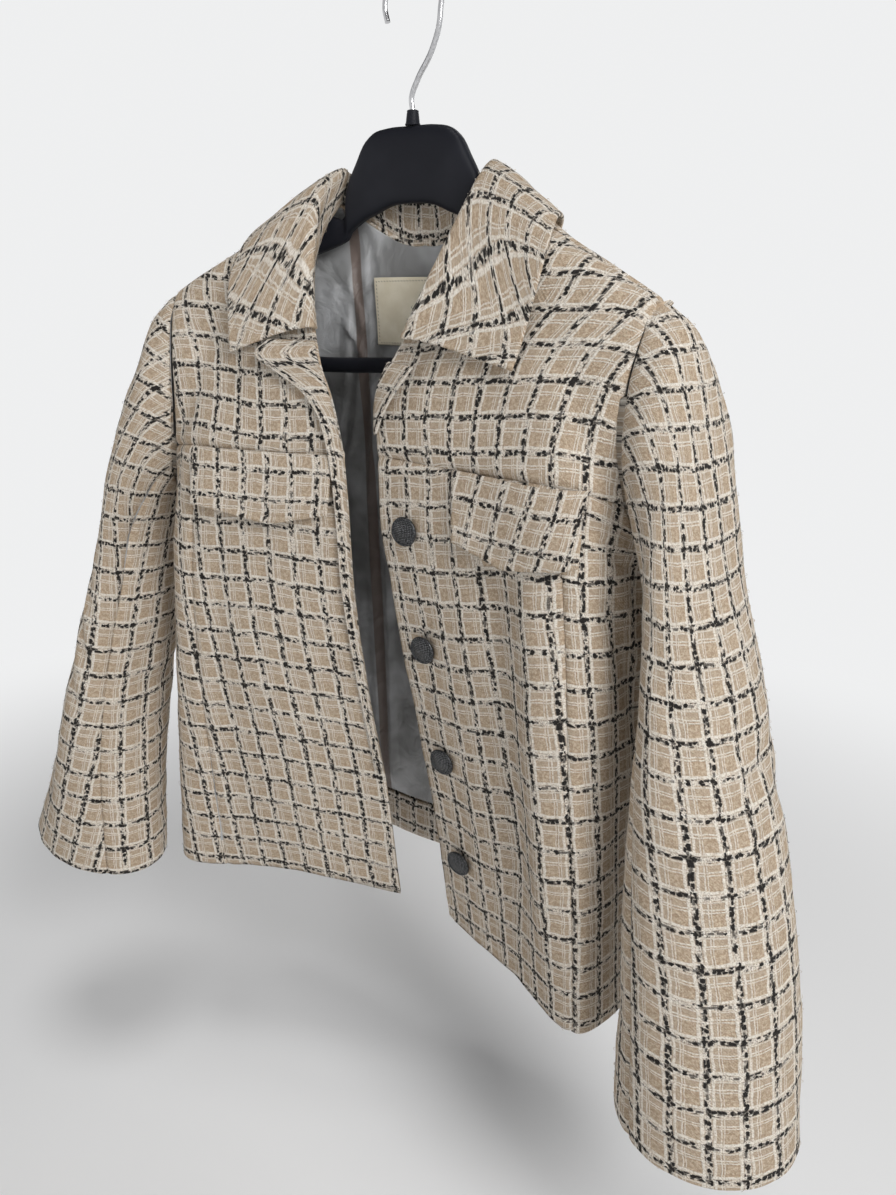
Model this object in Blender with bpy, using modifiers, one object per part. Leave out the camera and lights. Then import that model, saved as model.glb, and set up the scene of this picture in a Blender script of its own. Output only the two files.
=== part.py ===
"""Cropped boucle tweed jacket hanging open on a moulded hanger.

Metres, +Z up. The origin is the seat inside the top of the hook, +X is the wearer's left and
the front faces -Y. Heights in the tables are measured from the shoulder datum, HOOK_DROP below
the seat. Each cloth piece is a thin wall: a grid of outer points, worked out from a short table
of sections, extruded inwards by the cloth's thickness.
"""

import math
from collections import namedtuple

import bmesh
import bpy
import numpy as np
from mathutils import Vector

# Driving dimensions
HOOK_DROP = 0.176
TWEED = 0.0024
LINING = 0.0010
LABEL = 0.0008
SEAM_HALF = 0.00018
SHARP_ANGLE = 50.0
GARMENT = "cropped_jacket"

# Body sections from hem to shoulder. The front's columns are (x, y) of its left edge, right edge
# (mirrored), middle and bulge, the back's are its centre's y and (x, y) of its neck and blade lines.
# The lifts are added to z, for the edge, middle and bulge, and for the centre, neck and blade.
Body = namedtuple("Body", "level z left_edge right_edge middle bulge centre neck blade lift back_lift")
LEVEL = (0.0, 0.0, 0.0)
BODY = (
    Body("hem", -0.549, (0.062, -0.034), (-0.008, -0.031), (0.137, -0.067), (0.207, -0.101),
         0.056, (0.090, 0.068), (0.180, 0.056), LEVEL, LEVEL),
    Body("hip", -0.430, (0.051, -0.047), (-0.003, -0.045), (0.128, -0.078), (0.199, -0.106),
         0.050, (0.088, 0.061), (0.174, 0.051), LEVEL, LEVEL),
    Body("waist", -0.340, (0.036, -0.055), (0.008, -0.054), (0.119, -0.085), (0.192, -0.106),
         0.045, (0.086, 0.055), (0.170, 0.047), LEVEL, LEVEL),
    Body("bust", -0.250, (0.020, -0.060), (0.017, -0.060), (0.110, -0.087), (0.187, -0.104),
         0.039, (0.084, 0.049), (0.167, 0.043), LEVEL, LEVEL),
    Body("underarm", -0.205, (0.011, -0.060), (0.0195, -0.060), (0.104, -0.085), (0.183, -0.101),
         0.036, (0.083, 0.045), (0.165, 0.040), LEVEL, LEVEL),
    Body("scye", -0.175, (0.008, -0.059), (0.0222, -0.059), (0.100, -0.083), (0.178, -0.098),
         0.034, (0.082, 0.042), (0.162, 0.036), LEVEL, LEVEL),
    Body("yoke seam", -0.150, (0.006, -0.058), (0.0255, -0.058), (0.097, -0.080), (0.173, -0.094),
         0.032, (0.081, 0.039), (0.160, 0.032), LEVEL, LEVEL),
    Body("chest", -0.112, (0.004, -0.056), (0.036, -0.0565), (0.096, -0.072), (0.166, -0.083),
         0.029, (0.080, 0.034), (0.155, 0.024), LEVEL, LEVEL),
    Body("neck corner", -0.075, (0.018, -0.053), (0.051, -0.0525), (0.100, -0.060), (0.162, -0.068),
         0.026, (0.078, 0.028), (0.150, 0.014), (-0.003, 0.009, 0.001), (0.000, 0.009, 0.000)),
    Body("neckline", -0.030, (0.050, -0.034), (0.068, -0.036), (0.107, -0.046), (0.160, -0.055),
         0.023, (0.075, 0.020), (0.147, 0.003), (0.008, 0.006, -0.010), (-0.010, 0.010, -0.008)),
    Body("shoulder fall", -0.008, (0.066, -0.009), (0.0725, -0.0105), (0.114, -0.030), (0.164, -0.043),
         0.0215, (0.074, 0.014), (0.141, -0.0090), (0.024, 0.012, -0.012), (-0.008, 0.029, 0.003)),
    Body("shoulder", 0.000, (0.071, 0.005), (0.071, 0.005), (0.116, -0.016), (0.165, -0.030),
         0.020, (0.071, 0.005), (0.140, -0.0230), (0.031, 0.011, -0.014), (0.004, 0.031, 0.000)),
)
# The right front hangs flatter than the left: its middle and bulge move by (x, y, z)
RIGHT_MIDDLE_SHIFT = (-0.004, 0.006, -0.006)
RIGHT_BULGE_SHIFT = (-0.008, 0.015, -0.004)
RIGHT_SHIFT_ROWS = (8.0, 10.0)
# Side seam from hem to bust as (x, y). It ends at the underarm point of the armhole.
SIDE = ((0.238, -0.028), (0.230, -0.028), (0.226, -0.028), (0.2235, -0.028))
UNDERARM_ROW = 4
YOKE_ROW = 6
CORNER_ROW = 8
TOP_ROW = 11
# Rows that the grids are made at, and shares of half the back at its neck and blade lines
LOW_ROWS = (0.0, 0.34, 1.0, 2.0, 3.0, 4.0, 4.5, 5.0, 5.5, 6.0)
HIGH_ROWS = (6.0, 6.5, 7.0, 7.5, 8.0, 8.3, 8.65, 9.0, 9.5, 10.0, 10.5, 11.0)
BODY_ROWS = LOW_ROWS + HIGH_ROWS[1:]
NECK_SHARE = 0.30
BLADE_SHARE = 0.66
BACK_NECK_COLUMNS = 5
# Scoop of the back neckline between its centre and the shoulders, and the rows it grows over
NECK_SCOOP = 0.0045
SCOOP_ROWS = (9.0, 11.0)
# Upright seams: share across each front, and the columns on both sides of it
UPRIGHT_SEAM = {"left": 0.65, "right": 0.60}
CENTRE_COLUMNS = 6
SIDE_COLUMNS = 5
# Angle round the armhole at each row from underarm to shoulder, 180 at the underarm, 0 at the tip
ARMHOLE_ANGLES = (180, 150, 112, 86, 58, 32, 14, 0)
# The way in through the cloth points to a core low down, and to a line below the shoulders' ridge
CORE_X = 0.75
CORE_Y = -0.025
CORE_DROP = 0.03
CORE_HEIGHTS = (-0.15, -0.05)
RIDGE_X = (0.0, 0.04, 0.071, 0.116, 0.165, 0.207)
RIDGE_Y = (-0.02, -0.01, 0.005, -0.016, -0.030, -0.036)

# Sleeve rings from armhole to cuff: outer, inner, front and back points of the left sleeve
Ring = namedtuple("Ring", "outer inner front back")
LEFT_SLEEVE = (
    Ring((0.207, -0.036, -0.037), (0.224, -0.028, -0.205), (0.200, -0.077, -0.130), (0.206, 0.004, -0.130)),
    Ring((0.224, -0.037, -0.050), (0.2285, -0.031, -0.2125), (0.212, -0.091, -0.142), (0.220, 0.018, -0.140)),
    Ring((0.239, -0.039, -0.080), (0.2305, -0.035, -0.226), (0.227, -0.102, -0.168), (0.238, 0.026, -0.165)),
    Ring((0.254, -0.043, -0.135), (0.2310, -0.042, -0.248), (0.236, -0.109, -0.205), (0.247, 0.024, -0.200)),
    Ring((0.270, -0.048, -0.200), (0.2300, -0.052, -0.285), (0.245, -0.116, -0.255), (0.256, 0.016, -0.248)),
    Ring((0.296, -0.057, -0.275), (0.2300, -0.064, -0.332), (0.256, -0.124, -0.312), (0.268, 0.003, -0.302)),
    Ring((0.323, -0.069, -0.362), (0.2320, -0.078, -0.398), (0.273, -0.136, -0.388), (0.282, -0.014, -0.376)),
    Ring((0.347, -0.083, -0.455), (0.2380, -0.091, -0.476), (0.288, -0.147, -0.470), (0.294, -0.033, -0.462)),
    Ring((0.367, -0.100, -0.570), (0.2440, -0.104, -0.570), (0.304, -0.158, -0.572), (0.306, -0.050, -0.568)),
)
RIGHT_SLEEVE = (
    Ring((0.207, -0.036, -0.037), (0.224, -0.028, -0.205), (0.194, -0.066, -0.130), (0.206, 0.004, -0.130)),
    Ring((0.222, -0.037, -0.049), (0.2285, -0.031, -0.2125), (0.207, -0.080, -0.142), (0.218, 0.014, -0.140)),
    Ring((0.235, -0.039, -0.080), (0.2305, -0.035, -0.226), (0.223, -0.093, -0.168), (0.233, 0.016, -0.165)),
    Ring((0.249, -0.043, -0.135), (0.2310, -0.042, -0.246), (0.236, -0.105, -0.202), (0.242, 0.010, -0.200)),
    Ring((0.264, -0.050, -0.200), (0.2300, -0.054, -0.280), (0.244, -0.114, -0.250), (0.250, 0.000, -0.245)),
    Ring((0.280, -0.062, -0.275), (0.2295, -0.067, -0.322), (0.254, -0.127, -0.306), (0.259, -0.012, -0.296)),
    Ring((0.299, -0.076, -0.356), (0.2310, -0.082, -0.380), (0.266, -0.141, -0.374), (0.270, -0.026, -0.366)),
    Ring((0.326, -0.092, -0.442), (0.2290, -0.096, -0.456), (0.279, -0.153, -0.454), (0.284, -0.042, -0.446)),
    Ring((0.361, -0.111, -0.531), (0.2205, -0.108, -0.555), (0.286, -0.163, -0.544), (0.299, -0.057, -0.543)),
)
SLEEVES = {"left": LEFT_SLEEVE, "right": RIGHT_SLEEVE}
SLEEVE_RINGS = 13
SLEEVE_GAP = 0.0004
# Rows of the armhole where the sleeve's front and back seams begin
FRONT_SEAM_ROW = 5.5
BACK_SEAM_ROW = 7.0

# Soft folds that show from a step away: place as (share across, row) at both ends, half width, height
Fold = namedtuple("Fold", "start end half_width height")
LEFT_FOLDS = (
    Fold((0.50, 1.0), (0.55, 4.0), 0.09, -0.004),
    Fold((0.68, 0.0), (0.64, 3.2), 0.08, 0.004),
    Fold((0.25, 0.0), (0.22, 2.0), 0.09, -0.003),
)
RIGHT_FOLDS = (
    Fold((0.45, 0.0), (0.45, 2.5), 0.35, 0.009),
    Fold((0.62, 0.0), (0.60, 3.0), 0.09, -0.004),
    Fold((0.35, 0.0), (0.38, 3.6), 0.10, 0.003),
)
BACK_FOLDS = (
    Fold((0.30, 0.0), (0.33, 5.0), 0.06, -0.005),
    Fold((0.70, 0.0), (0.66, 5.0), 0.06, -0.005),
    Fold((0.50, 0.0), (0.50, 4.0), 0.06, 0.004),
)
FOLD_FADE = 0.6
FOLD_END = 2.0

# Collar sections from the back's centre to the front end: the place along the half neckline, and
# the under face's roll line and outer edge
Collar = namedtuple("Collar", "name place roll edge")
COLLAR = (
    Collar("centre back", 0.0, (0.000, 0.0225, 0.0205), (0.000, 0.037, -0.046)),
    Collar("back neck", 0.25, (0.046, 0.0155, 0.0360), (0.088, 0.037, -0.020)),
    Collar("shoulder seam", 0.39, (0.0620, 0.0080, 0.0490), (0.115, 0.009, 0.0100)),
    Collar("shoulder", 0.5, (0.0655, 0.0010, 0.0505), (0.123, -0.014, 0.0130)),
)
COLLAR_ENDS = {
    "left": (
        Collar("side neck", 0.75, (0.0580, -0.0240, 0.0180), (0.131, -0.056, -0.029)),
        Collar("front neck", 0.87, (0.0440, -0.0505, -0.0320), (0.128, -0.0660, -0.0590)),
        Collar("front end", 1.0, (0.0315, -0.0620, -0.0660), (0.123, -0.0730, -0.0825)),
    ),
    "right": (
        Collar("side neck", 0.75, (0.0740, -0.0250, 0.0180), (0.131, -0.056, -0.029)),
        Collar("front neck", 0.87, (0.0625, -0.0445, -0.0270), (0.128, -0.0630, -0.0580)),
        Collar("front end", 1.0, (0.0540, -0.0555, -0.0610), (0.123, -0.0680, -0.0810)),
    ),
}
COLLAR_THICK = 0.0030
COLLAR_ROLL = 0.008
COLLAR_CROWN = 0.0025
COLLAR_GAP = 0.0009
COLLAR_END_ROW = 8.3
# The stand's rim lies on the panels' rim up to the first place, and square to the stand at the ends
COLLAR_END_PLACES = (0.75, 0.90)

# Pocket flaps: distances of their ends from the front edge, lifts off it, heights and drops
FLAP_ENDS = {"left": (0.0785, 0.190), "right": (0.0095, 0.132)}
FLAP_LIFT = {"left": (0.0010, 0.0060), "right": (0.0010, 0.0095)}
FLAP_TOP = {"left": -0.1505, "right": -0.1550}
FLAP_END = 0.052
FLAP_POINT = 0.060
FLAP_POINT_SHARE = 0.42
FLAP_TAPER = 0.008
FLAP_COLUMNS = 9
FLAP_ROWS = 5

# Turned-back edge strips from the low end to the neck: height at the edge and outside, and width
Revers = namedtuple("Revers", "edge_height outer_height width")
REVERS = {
    "left": (
        Revers(-0.136, -0.136, 0.005), Revers(-0.120, -0.121, 0.014),
        Revers(-0.102, -0.106, 0.024), Revers(-0.084, -0.090, 0.032),
    ),
    "right": (
        Revers(-0.420, -0.420, 0.006), Revers(-0.330, -0.330, 0.006), Revers(-0.250, -0.250, 0.0065),
        Revers(-0.190, -0.190, 0.0073), Revers(-0.150, -0.150, 0.0090), Revers(-0.122, -0.1235, 0.0120),
        Revers(-0.105, -0.1085, 0.0205), Revers(-0.092, -0.098, 0.034), Revers(-0.080, -0.0865, 0.0485),
        Revers(-0.0715, -0.0750, 0.035),
    ),
}
REVERS_SHARES = (0.0, 0.35, 0.7, 1.0)
REVERS_LIFTS = (0.0010, 0.0036, 0.0044, 0.0040)

# Buttons on the left front: height and seat off the smooth front, then inset and turned profile
Button = namedtuple("Button", "height seat")
BUTTONS = (Button(-0.200, 0.0), Button(-0.289, -0.0006), Button(-0.381, -0.0002), Button(-0.474, 0.0))
BUTTON_INSET = 0.031
BUTTON_PROFILE = ((0.0, 0.0075), (0.0055, 0.0070), (0.0095, 0.0056), (0.0110, 0.0042),
                  (0.0102, 0.0033), (0.0032, 0.0030), (0.0028, 0.0004), (0.0, 0.0004))
BUTTON_SIDES = 12
BUTTON_MERGE = 0.00005

# Lining, hem facing and label inside the back: row limits, sizes and the gap to what they lie on
LINING_ROWS = (0.36, 10.3)
FACING_ROWS = (0.0, 0.16, 0.34)
LABEL_SIZE = (0.066, 0.052)
LABEL_CENTRE = (-0.016, -0.049)
LABEL_COLUMNS = 7
LABEL_ROWS = 5
INSIDE_GAP = 0.0009

# Hanger: sections of one arm from the neck to the tip, (x, y), top, bottom and half depth
Arm = namedtuple("Arm", "x y top bottom half_depth")
HANGER = (
    Arm(0.000, 0.000, 0.0780, 0.0270, 0.0075),
    Arm(0.020, 0.000, 0.0778, 0.0252, 0.0075),
    Arm(0.032, 0.000, 0.0755, 0.0205, 0.0075),
    Arm(0.039, 0.000, 0.0705, 0.0180, 0.0075),
    Arm(0.047, 0.000, 0.0580, 0.0140, 0.0070),
    Arm(0.056, 0.000, 0.0420, 0.0080, 0.0060),
    Arm(0.063, 0.001, 0.0180, 0.0010, 0.0045),
    Arm(0.080, 0.000, 0.0215, -0.0050, 0.0060),
    Arm(0.110, -0.0135, 0.0105, -0.0170, 0.0065),
    Arm(0.150, -0.0265, -0.0094, -0.0310, 0.0070),
    Arm(0.178, -0.0325, -0.0243, -0.0425, 0.0065),
    Arm(0.194, -0.0350, -0.0340, -0.0495, 0.0050),
)
HANGER_SIDES = 10
HANGER_SQUARE = 0.8
# Trouser bar: its route from one arm to the middle, and the hook's ferrule, stem and bow
BAR_ROUTE = ((0.165, -0.0280, -0.0393), (0.162, -0.0250, -0.066), (0.150, -0.0180, -0.083),
             (0.120, -0.0090, -0.0890), (0.0, 0.0, -0.0890))
BAR_RADIUS = 0.006
BAR_POINTS = 25
FERRULE_RADII = (0.0055, 0.0039)
FERRULE_HEIGHTS = (0.0783, 0.0880)
FERRULE_SIDES = 16
HOOK_WIRE = 0.0020
HOOK_RADIUS = 0.0232
HOOK_CENTRE_Z = 0.1548
HOOK_STEM = ((0.000, 0.0884), (-0.001, 0.0960), (0.004, 0.1070), (0.0150, 0.1230), (0.0215, 0.1400))
HOOK_SWEEP = (-15.0, 205.0)
HOOK_BENDS = 12
HOOK_POINTS = 32
WIRE_RESOLUTION = 2

# Colours as linear base colour, roughness and metallic value
FINISHES = {
    "tweed": ((0.50, 0.41, 0.31), 0.90, 0.0),
    "lining": ((0.47, 0.45, 0.43), 0.40, 0.0),
    "label": ((0.60, 0.51, 0.33), 0.70, 0.0),
    "hanger": ((0.012, 0.013, 0.017), 0.45, 0.0),
    "steel": ((0.55, 0.55, 0.56), 0.25, 1.0),
    "button": ((0.035, 0.036, 0.040), 0.45, 0.6),
}


def spline(knots, points, at):
    """Points at the places `at` on a smooth curve through `points`, one knot value for each."""
    knots, points = np.asarray(knots, float), np.asarray(points, float)
    at = np.atleast_1d(np.asarray(at, float))
    steps = np.diff(knots)[:, None]
    slopes = np.diff(points, axis=0) / steps
    inner = (slopes[:-1] * steps[1:] + slopes[1:] * steps[:-1]) / (steps[:-1] + steps[1:])
    tangents = np.vstack([slopes[:1], inner, slopes[-1:]])
    cell = np.clip(np.searchsorted(knots, at, side="right") - 1, 0, len(steps) - 1)
    t = ((at - knots[cell]) / steps[cell, 0])[:, None]
    width = steps[cell]
    return (
        (1 + 2 * t) * (1 - t) ** 2 * points[cell]
        + t * (1 - t) ** 2 * width * tangents[cell]
        + t * t * (3 - 2 * t) * points[cell + 1]
        + t * t * (t - 1) * width * tangents[cell + 1]
    )


def chord_knots(points):
    """Knot values from 0 to 1, spaced as the points are."""
    lengths = np.linalg.norm(np.diff(np.asarray(points, float), axis=0), axis=1)
    return np.concatenate([[0.0], np.cumsum(lengths)]) / lengths.sum()


def curve(points, shares):
    """Points at the given shares of the length of a smooth curve."""
    return spline(chord_knots(points), points, shares)


def unit(vectors):
    """The vectors at length one."""
    vectors = np.asarray(vectors, float)
    return vectors / np.linalg.norm(vectors, axis=-1, keepdims=True)


def ring_point(ring, degrees):
    """A point on the oval through a ring's four points: 0 outer, 90 front, 180 inner, -90 back."""
    outer, inner, front, back = (np.array(p) for p in ring)
    c, s = math.cos(math.radians(degrees)), math.sin(math.radians(degrees))
    middle = (outer + inner) / 2
    return middle + (outer - inner) / 2 * c + ((front + back) / 2 - middle) * s * s + (front - back) / 2 * s


def with_heights(places, lift):
    """(x, y) places with a height for each."""
    return [(x, y, z) for (x, y), z in zip(places, lift)]


def level_knots():
    """Knot values of the body's rows, spaced as the middle of the front is."""
    return chord_knots(with_heights([b.middle for b in BODY], [b.z + b.lift[1] for b in BODY]))


LEVEL_KNOTS = level_knots()


def column(places, heights, row):
    """A body column's point at a row, which may lie between two sections."""
    at = np.interp(row, range(len(BODY)), LEVEL_KNOTS)
    return spline(LEVEL_KNOTS, with_heights(places, heights), at)[0]


def outer_edge(side, row, front):
    """The side seam up to the underarm, then the armhole's front or back half."""
    armhole = SLEEVES[side][0]
    if row <= UNDERARM_ROW:
        seam = [(x, y, BODY[i].z) for i, (x, y) in enumerate(SIDE)] + [armhole.inner]
        knots = LEVEL_KNOTS[: UNDERARM_ROW + 1]
        return spline(knots, seam, np.interp(row, range(UNDERARM_ROW + 1), knots))[0]
    degrees = armhole_angle(row)
    return ring_point(armhole, degrees if front else -degrees)


def armhole_angle(row):
    """The angle round the armhole at a row."""
    return np.interp(row, range(UNDERARM_ROW, TOP_ROW + 1), ARMHOLE_ANGLES)


def fold_height(folds, share, row):
    """How far the soft folds move a place on a panel out, or in where it is negative."""
    total = 0.0
    for fold in folds:
        (s0, r0), (s1, r1) = fold.start, fold.end
        along = np.clip((row - r0) / (r1 - r0), 0.0, 1.0)
        beyond = max(0.0, r0 - row, row - r1)
        across = (share - s0 - (s1 - s0) * along) / fold.half_width
        fade = math.exp(-across * across - FOLD_END * beyond * beyond) * (1.0 - FOLD_FADE * along)
        total += fold.height * fade
    return total


def inward(point):
    """The way in through the cloth at a point of the body, the same on both sides of a seam."""
    x, y, z = point
    high = np.interp(z, CORE_HEIGHTS, (0.0, 1.0))
    core_y = (1.0 - high) * CORE_Y + high * np.interp(abs(x), RIDGE_X, RIDGE_Y)
    return unit(np.array((CORE_X * x, core_y, z - CORE_DROP)) - np.array(point))


def front_point(side, share, row):
    """A point of the left front's outer face, or of the right front's mirrored to the left."""
    edges = [b.left_edge if side == "left" else b.right_edge for b in BODY]
    edge = column(edges, [b.z + b.lift[0] for b in BODY], row)
    middle = column([b.middle for b in BODY], [b.z + b.lift[1] for b in BODY], row)
    bulge = column([b.bulge for b in BODY], [b.z + b.lift[2] for b in BODY], row)
    if side == "right":
        amount = np.interp(row, RIGHT_SHIFT_ROWS, (1.0, 0.0))
        middle = middle + amount * np.array(RIGHT_MIDDLE_SHIFT)
        bulge = bulge + amount * np.array(RIGHT_BULGE_SHIFT)
    point = curve([edge, middle, bulge, outer_edge(side, row, True)], share)[0]
    folds = LEFT_FOLDS if side == "left" else RIGHT_FOLDS
    return point - inward(point) * fold_height(folds, share, row)


def front_length(side, row):
    """The length of a row of a front, from its edge to its side seam or armhole."""
    line = np.array([front_point(side, s, row) for s in np.linspace(0.0, 1.0, 9)])
    return np.linalg.norm(np.diff(line, axis=0), axis=1).sum()


def front_row_at(side, share, height):
    """The row where a share of a front has a height."""
    rows = np.linspace(0.0, CORNER_ROW + 1, 73)
    return np.interp(height, [front_point(side, share, r)[2] for r in rows], rows)


def front_place(side, distance, height):
    """The share and row of the place at a distance from a front's edge and at a height."""
    row = front_row_at(side, 0.1, height)
    share = distance / front_length(side, row)
    return share, front_row_at(side, share, height)


def back_half_point(side, share, row):
    """A point of half the back: share 0 at the centre, NECK_SHARE at the neck, 1 outside."""
    centre = column([(0.0, b.centre) for b in BODY], [b.z + b.back_lift[0] for b in BODY], row)
    neck = column([b.neck for b in BODY], [b.z + b.back_lift[1] for b in BODY], row)
    blade = column([b.blade for b in BODY], [b.z + b.back_lift[2] for b in BODY], row)
    controls = [neck * (-1, 1, 1), centre, neck, blade, outer_edge(side, row, False)]
    point = spline((-NECK_SHARE, 0.0, NECK_SHARE, BLADE_SHARE, 1.0), controls, share)[0]
    along = min(share / NECK_SHARE, 1.0)
    point[2] -= NECK_SCOOP * 4.0 * along * (1.0 - along) * np.interp(row, SCOOP_ROWS, (0.0, 1.0))
    return point


def back_point(share, row):
    """A point of the back's outer face, share 0 at the wearer's right side and 1 at the left."""
    half = 2.0 * share - 1.0
    point = back_half_point("left" if half > 0 else "right", abs(half), row)
    if half < 0:
        point = point * (-1, 1, 1)
    return point - inward(point) * fold_height(BACK_FOLDS, share, row)


def grid_of(function, shares, rows):
    """A grid of points, one row for each value in rows."""
    return np.array([[function(s, r) for s in shares] for r in rows])


def mirrored(grid):
    """The grid on the wearer's right side."""
    return grid * (-1.0, 1.0, 1.0)


def inset(grid):
    """The grid with its borders drawn in, so that neighbours lie apart at a seam."""
    grid = grid.copy()
    grid[0] += unit(grid[1] - grid[0]) * SEAM_HALF
    grid[-1] += unit(grid[-2] - grid[-1]) * SEAM_HALF
    grid[:, 0] += unit(grid[:, 1] - grid[:, 0]) * SEAM_HALF
    grid[:, -1] += unit(grid[:, -2] - grid[:, -1]) * SEAM_HALF
    return grid


def inwards_of(grid):
    """The way in at each point of a grid on the body."""
    return np.array([[inward(p) for p in row] for row in grid])


def material(finish):
    """The Principled material of a finish, made once."""
    found = bpy.data.materials.get(finish)
    if found:
        return found
    colour, roughness, metallic = FINISHES[finish]
    made = bpy.data.materials.new(finish)
    made.use_nodes = True
    shader = made.node_tree.nodes["Principled BSDF"]
    shader.inputs["Base Color"].default_value = (*colour, 1.0)
    shader.inputs["Roughness"].default_value = roughness
    shader.inputs["Metallic"].default_value = metallic
    return made


def add_object(name, data, finish):
    """A named part in the garment's collection, hung below the hook's seat."""
    part = bpy.data.objects.new(name, data)
    part.data.materials.clear()
    part.data.materials.append(material(finish))
    bpy.data.collections[GARMENT].objects.link(part)
    part.parent = bpy.data.objects["shoulder_datum"]
    return part


def mesh_object(name, bm, finish):
    """A named part from an edited mesh, with its faces turned outwards."""
    bmesh.ops.recalc_face_normals(bm, faces=bm.faces[:])
    mesh = bpy.data.meshes.new(name)
    bm.to_mesh(mesh)
    bm.free()
    mesh.shade_smooth()
    mesh.set_sharp_from_angle(angle=math.radians(SHARP_ANGLE))
    return add_object(name, mesh, finish)


def wall(name, outer, inner, finish):
    """A cloth wall between two grids of points: a grid surface, extruded from one to the other."""
    rows, columns = outer.shape[:2]
    bm = bmesh.new()
    place = bm.verts.layers.int.new("place")
    bmesh.ops.create_grid(bm, x_segments=columns - 1, y_segments=rows - 1, size=1.0)
    for index, vert in enumerate(bm.verts):
        vert[place] = index
        vert.co = outer.reshape(-1, 3)[index]
    copied = bmesh.ops.extrude_face_region(bm, geom=bm.faces[:], use_keep_orig=True)
    for element in copied["geom"]:
        if isinstance(element, bmesh.types.BMVert):
            element.co = inner.reshape(-1, 3)[element[place]]
    return mesh_object(name, bm, finish)


def body_wall(name, grid, thickness, finish, depth=0.0):
    """A wall of the body from a grid of its outer face, sunk by a depth inside it."""
    grid = inset(grid)
    ways = inwards_of(grid)
    return wall(name, grid + ways * depth, grid + ways * (depth + thickness), finish)


def front_shares(side):
    """Shares across a front's centre panel and side panel."""
    seam = UPRIGHT_SEAM[side]
    return np.linspace(0.0, seam, CENTRE_COLUMNS), np.linspace(seam, 1.0, SIDE_COLUMNS)


def yoke_shares(side):
    """Shares across a whole front."""
    centre, outside = front_shares(side)
    return np.concatenate([centre, outside[1:]])


def make_front(side):
    """One front: yoke, centre panel and side panel, parted by the yoke and upright seams."""
    turn = mirrored if side == "right" else np.array
    centre, outside = front_shares(side)

    def place(share, row):
        return front_point(side, share, row)

    body_wall(f"{side}_front_yoke", turn(grid_of(place, yoke_shares(side), HIGH_ROWS)), TWEED, "tweed")
    body_wall(f"{side}_front_centre", turn(grid_of(place, centre, LOW_ROWS)), TWEED, "tweed")
    body_wall(f"{side}_front_side", turn(grid_of(place, outside, LOW_ROWS)), TWEED, "tweed")


def half_columns(side):
    """Shares of half the back, from its centre: the back neck, then the front's own columns."""
    neck = np.linspace(0.0, NECK_SHARE, BACK_NECK_COLUMNS)
    return np.concatenate([neck[:-1], NECK_SHARE + (1.0 - NECK_SHARE) * yoke_shares(side)])


def back_columns():
    """Shares across the whole back, from the wearer's right to the left."""
    both = np.concatenate([-half_columns("right")[:0:-1], half_columns("left")])
    return (both + 1.0) / 2.0


def make_back():
    """The back panel. Its shoulders take the very points of the fronts' shoulders."""
    grid = grid_of(back_point, back_columns(), BODY_ROWS)
    left = np.array([front_point("left", s, TOP_ROW) for s in yoke_shares("left")])
    right = np.array([front_point("right", s, TOP_ROW) for s in yoke_shares("right")])
    grid[-1, -len(left):] = left
    grid[-1, : len(right)] = mirrored(right[::-1])
    body_wall("back", grid, TWEED, "tweed")


def make_inside():
    """The hem facing and the lining on the inside of the back."""
    depth = TWEED + INSIDE_GAP
    shares = back_columns()[1:-1]
    body_wall("back_hem_facing", grid_of(back_point, shares, FACING_ROWS), TWEED, "tweed", depth)
    low, high = LINING_ROWS
    rows = [low, *(r for r in BODY_ROWS if low < r < high), high]
    body_wall("back_lining", grid_of(back_point, shares, rows), LINING, "lining", depth)


def back_at(x, height):
    """The back's point at an x and a height near its centre."""
    rows = np.linspace(YOKE_ROW, TOP_ROW, 31)
    shares = np.linspace(0.3, 0.7, 31)
    share = 0.5
    for _ in range(3):
        row = np.interp(height, [back_point(share, r)[2] for r in rows], rows)
        share = np.interp(x, [back_point(s, row)[0] for s in shares], shares)
    return back_point(share, row)


def make_label():
    """The bare woven label, on the lining below the back neck."""
    (width, height), (x, z) = LABEL_SIZE, LABEL_CENTRE
    across = np.linspace(x - width / 2, x + width / 2, LABEL_COLUMNS)
    up = np.linspace(z - height / 2, z + height / 2, LABEL_ROWS)
    depth = TWEED + LINING + 2 * INSIDE_GAP
    body_wall("label", grid_of(back_at, across, up), LABEL, "label", depth)


def sleeve_angles():
    """Angles of the upper and the under sleeve, the same as those of the armhole's points."""
    rows = np.array([r for r in BODY_ROWS if r >= UNDERARM_ROW])
    back = [-armhole_angle(r) for r in rows if r >= BACK_SEAM_ROW]
    front = [armhole_angle(r) for r in rows[::-1] if FRONT_SEAM_ROW <= r < TOP_ROW]
    low_front = [armhole_angle(r) for r in rows[::-1] if r <= FRONT_SEAM_ROW]
    low_back = [360.0 - armhole_angle(r) for r in rows if UNDERARM_ROW < r <= BACK_SEAM_ROW]
    return {"upper": back + front, "under": low_front + low_back}


def sleeve_rings(rings):
    """Rings at even places along a sleeve, on smooth lines through the table's rings."""
    knots = chord_knots([r.outer for r in rings])
    places = np.linspace(0.0, 1.0, SLEEVE_RINGS)
    lines = [spline(knots, [getattr(r, field) for r in rings], places) for field in Ring._fields]
    return [Ring(*points) for points in zip(*lines)]


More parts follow.
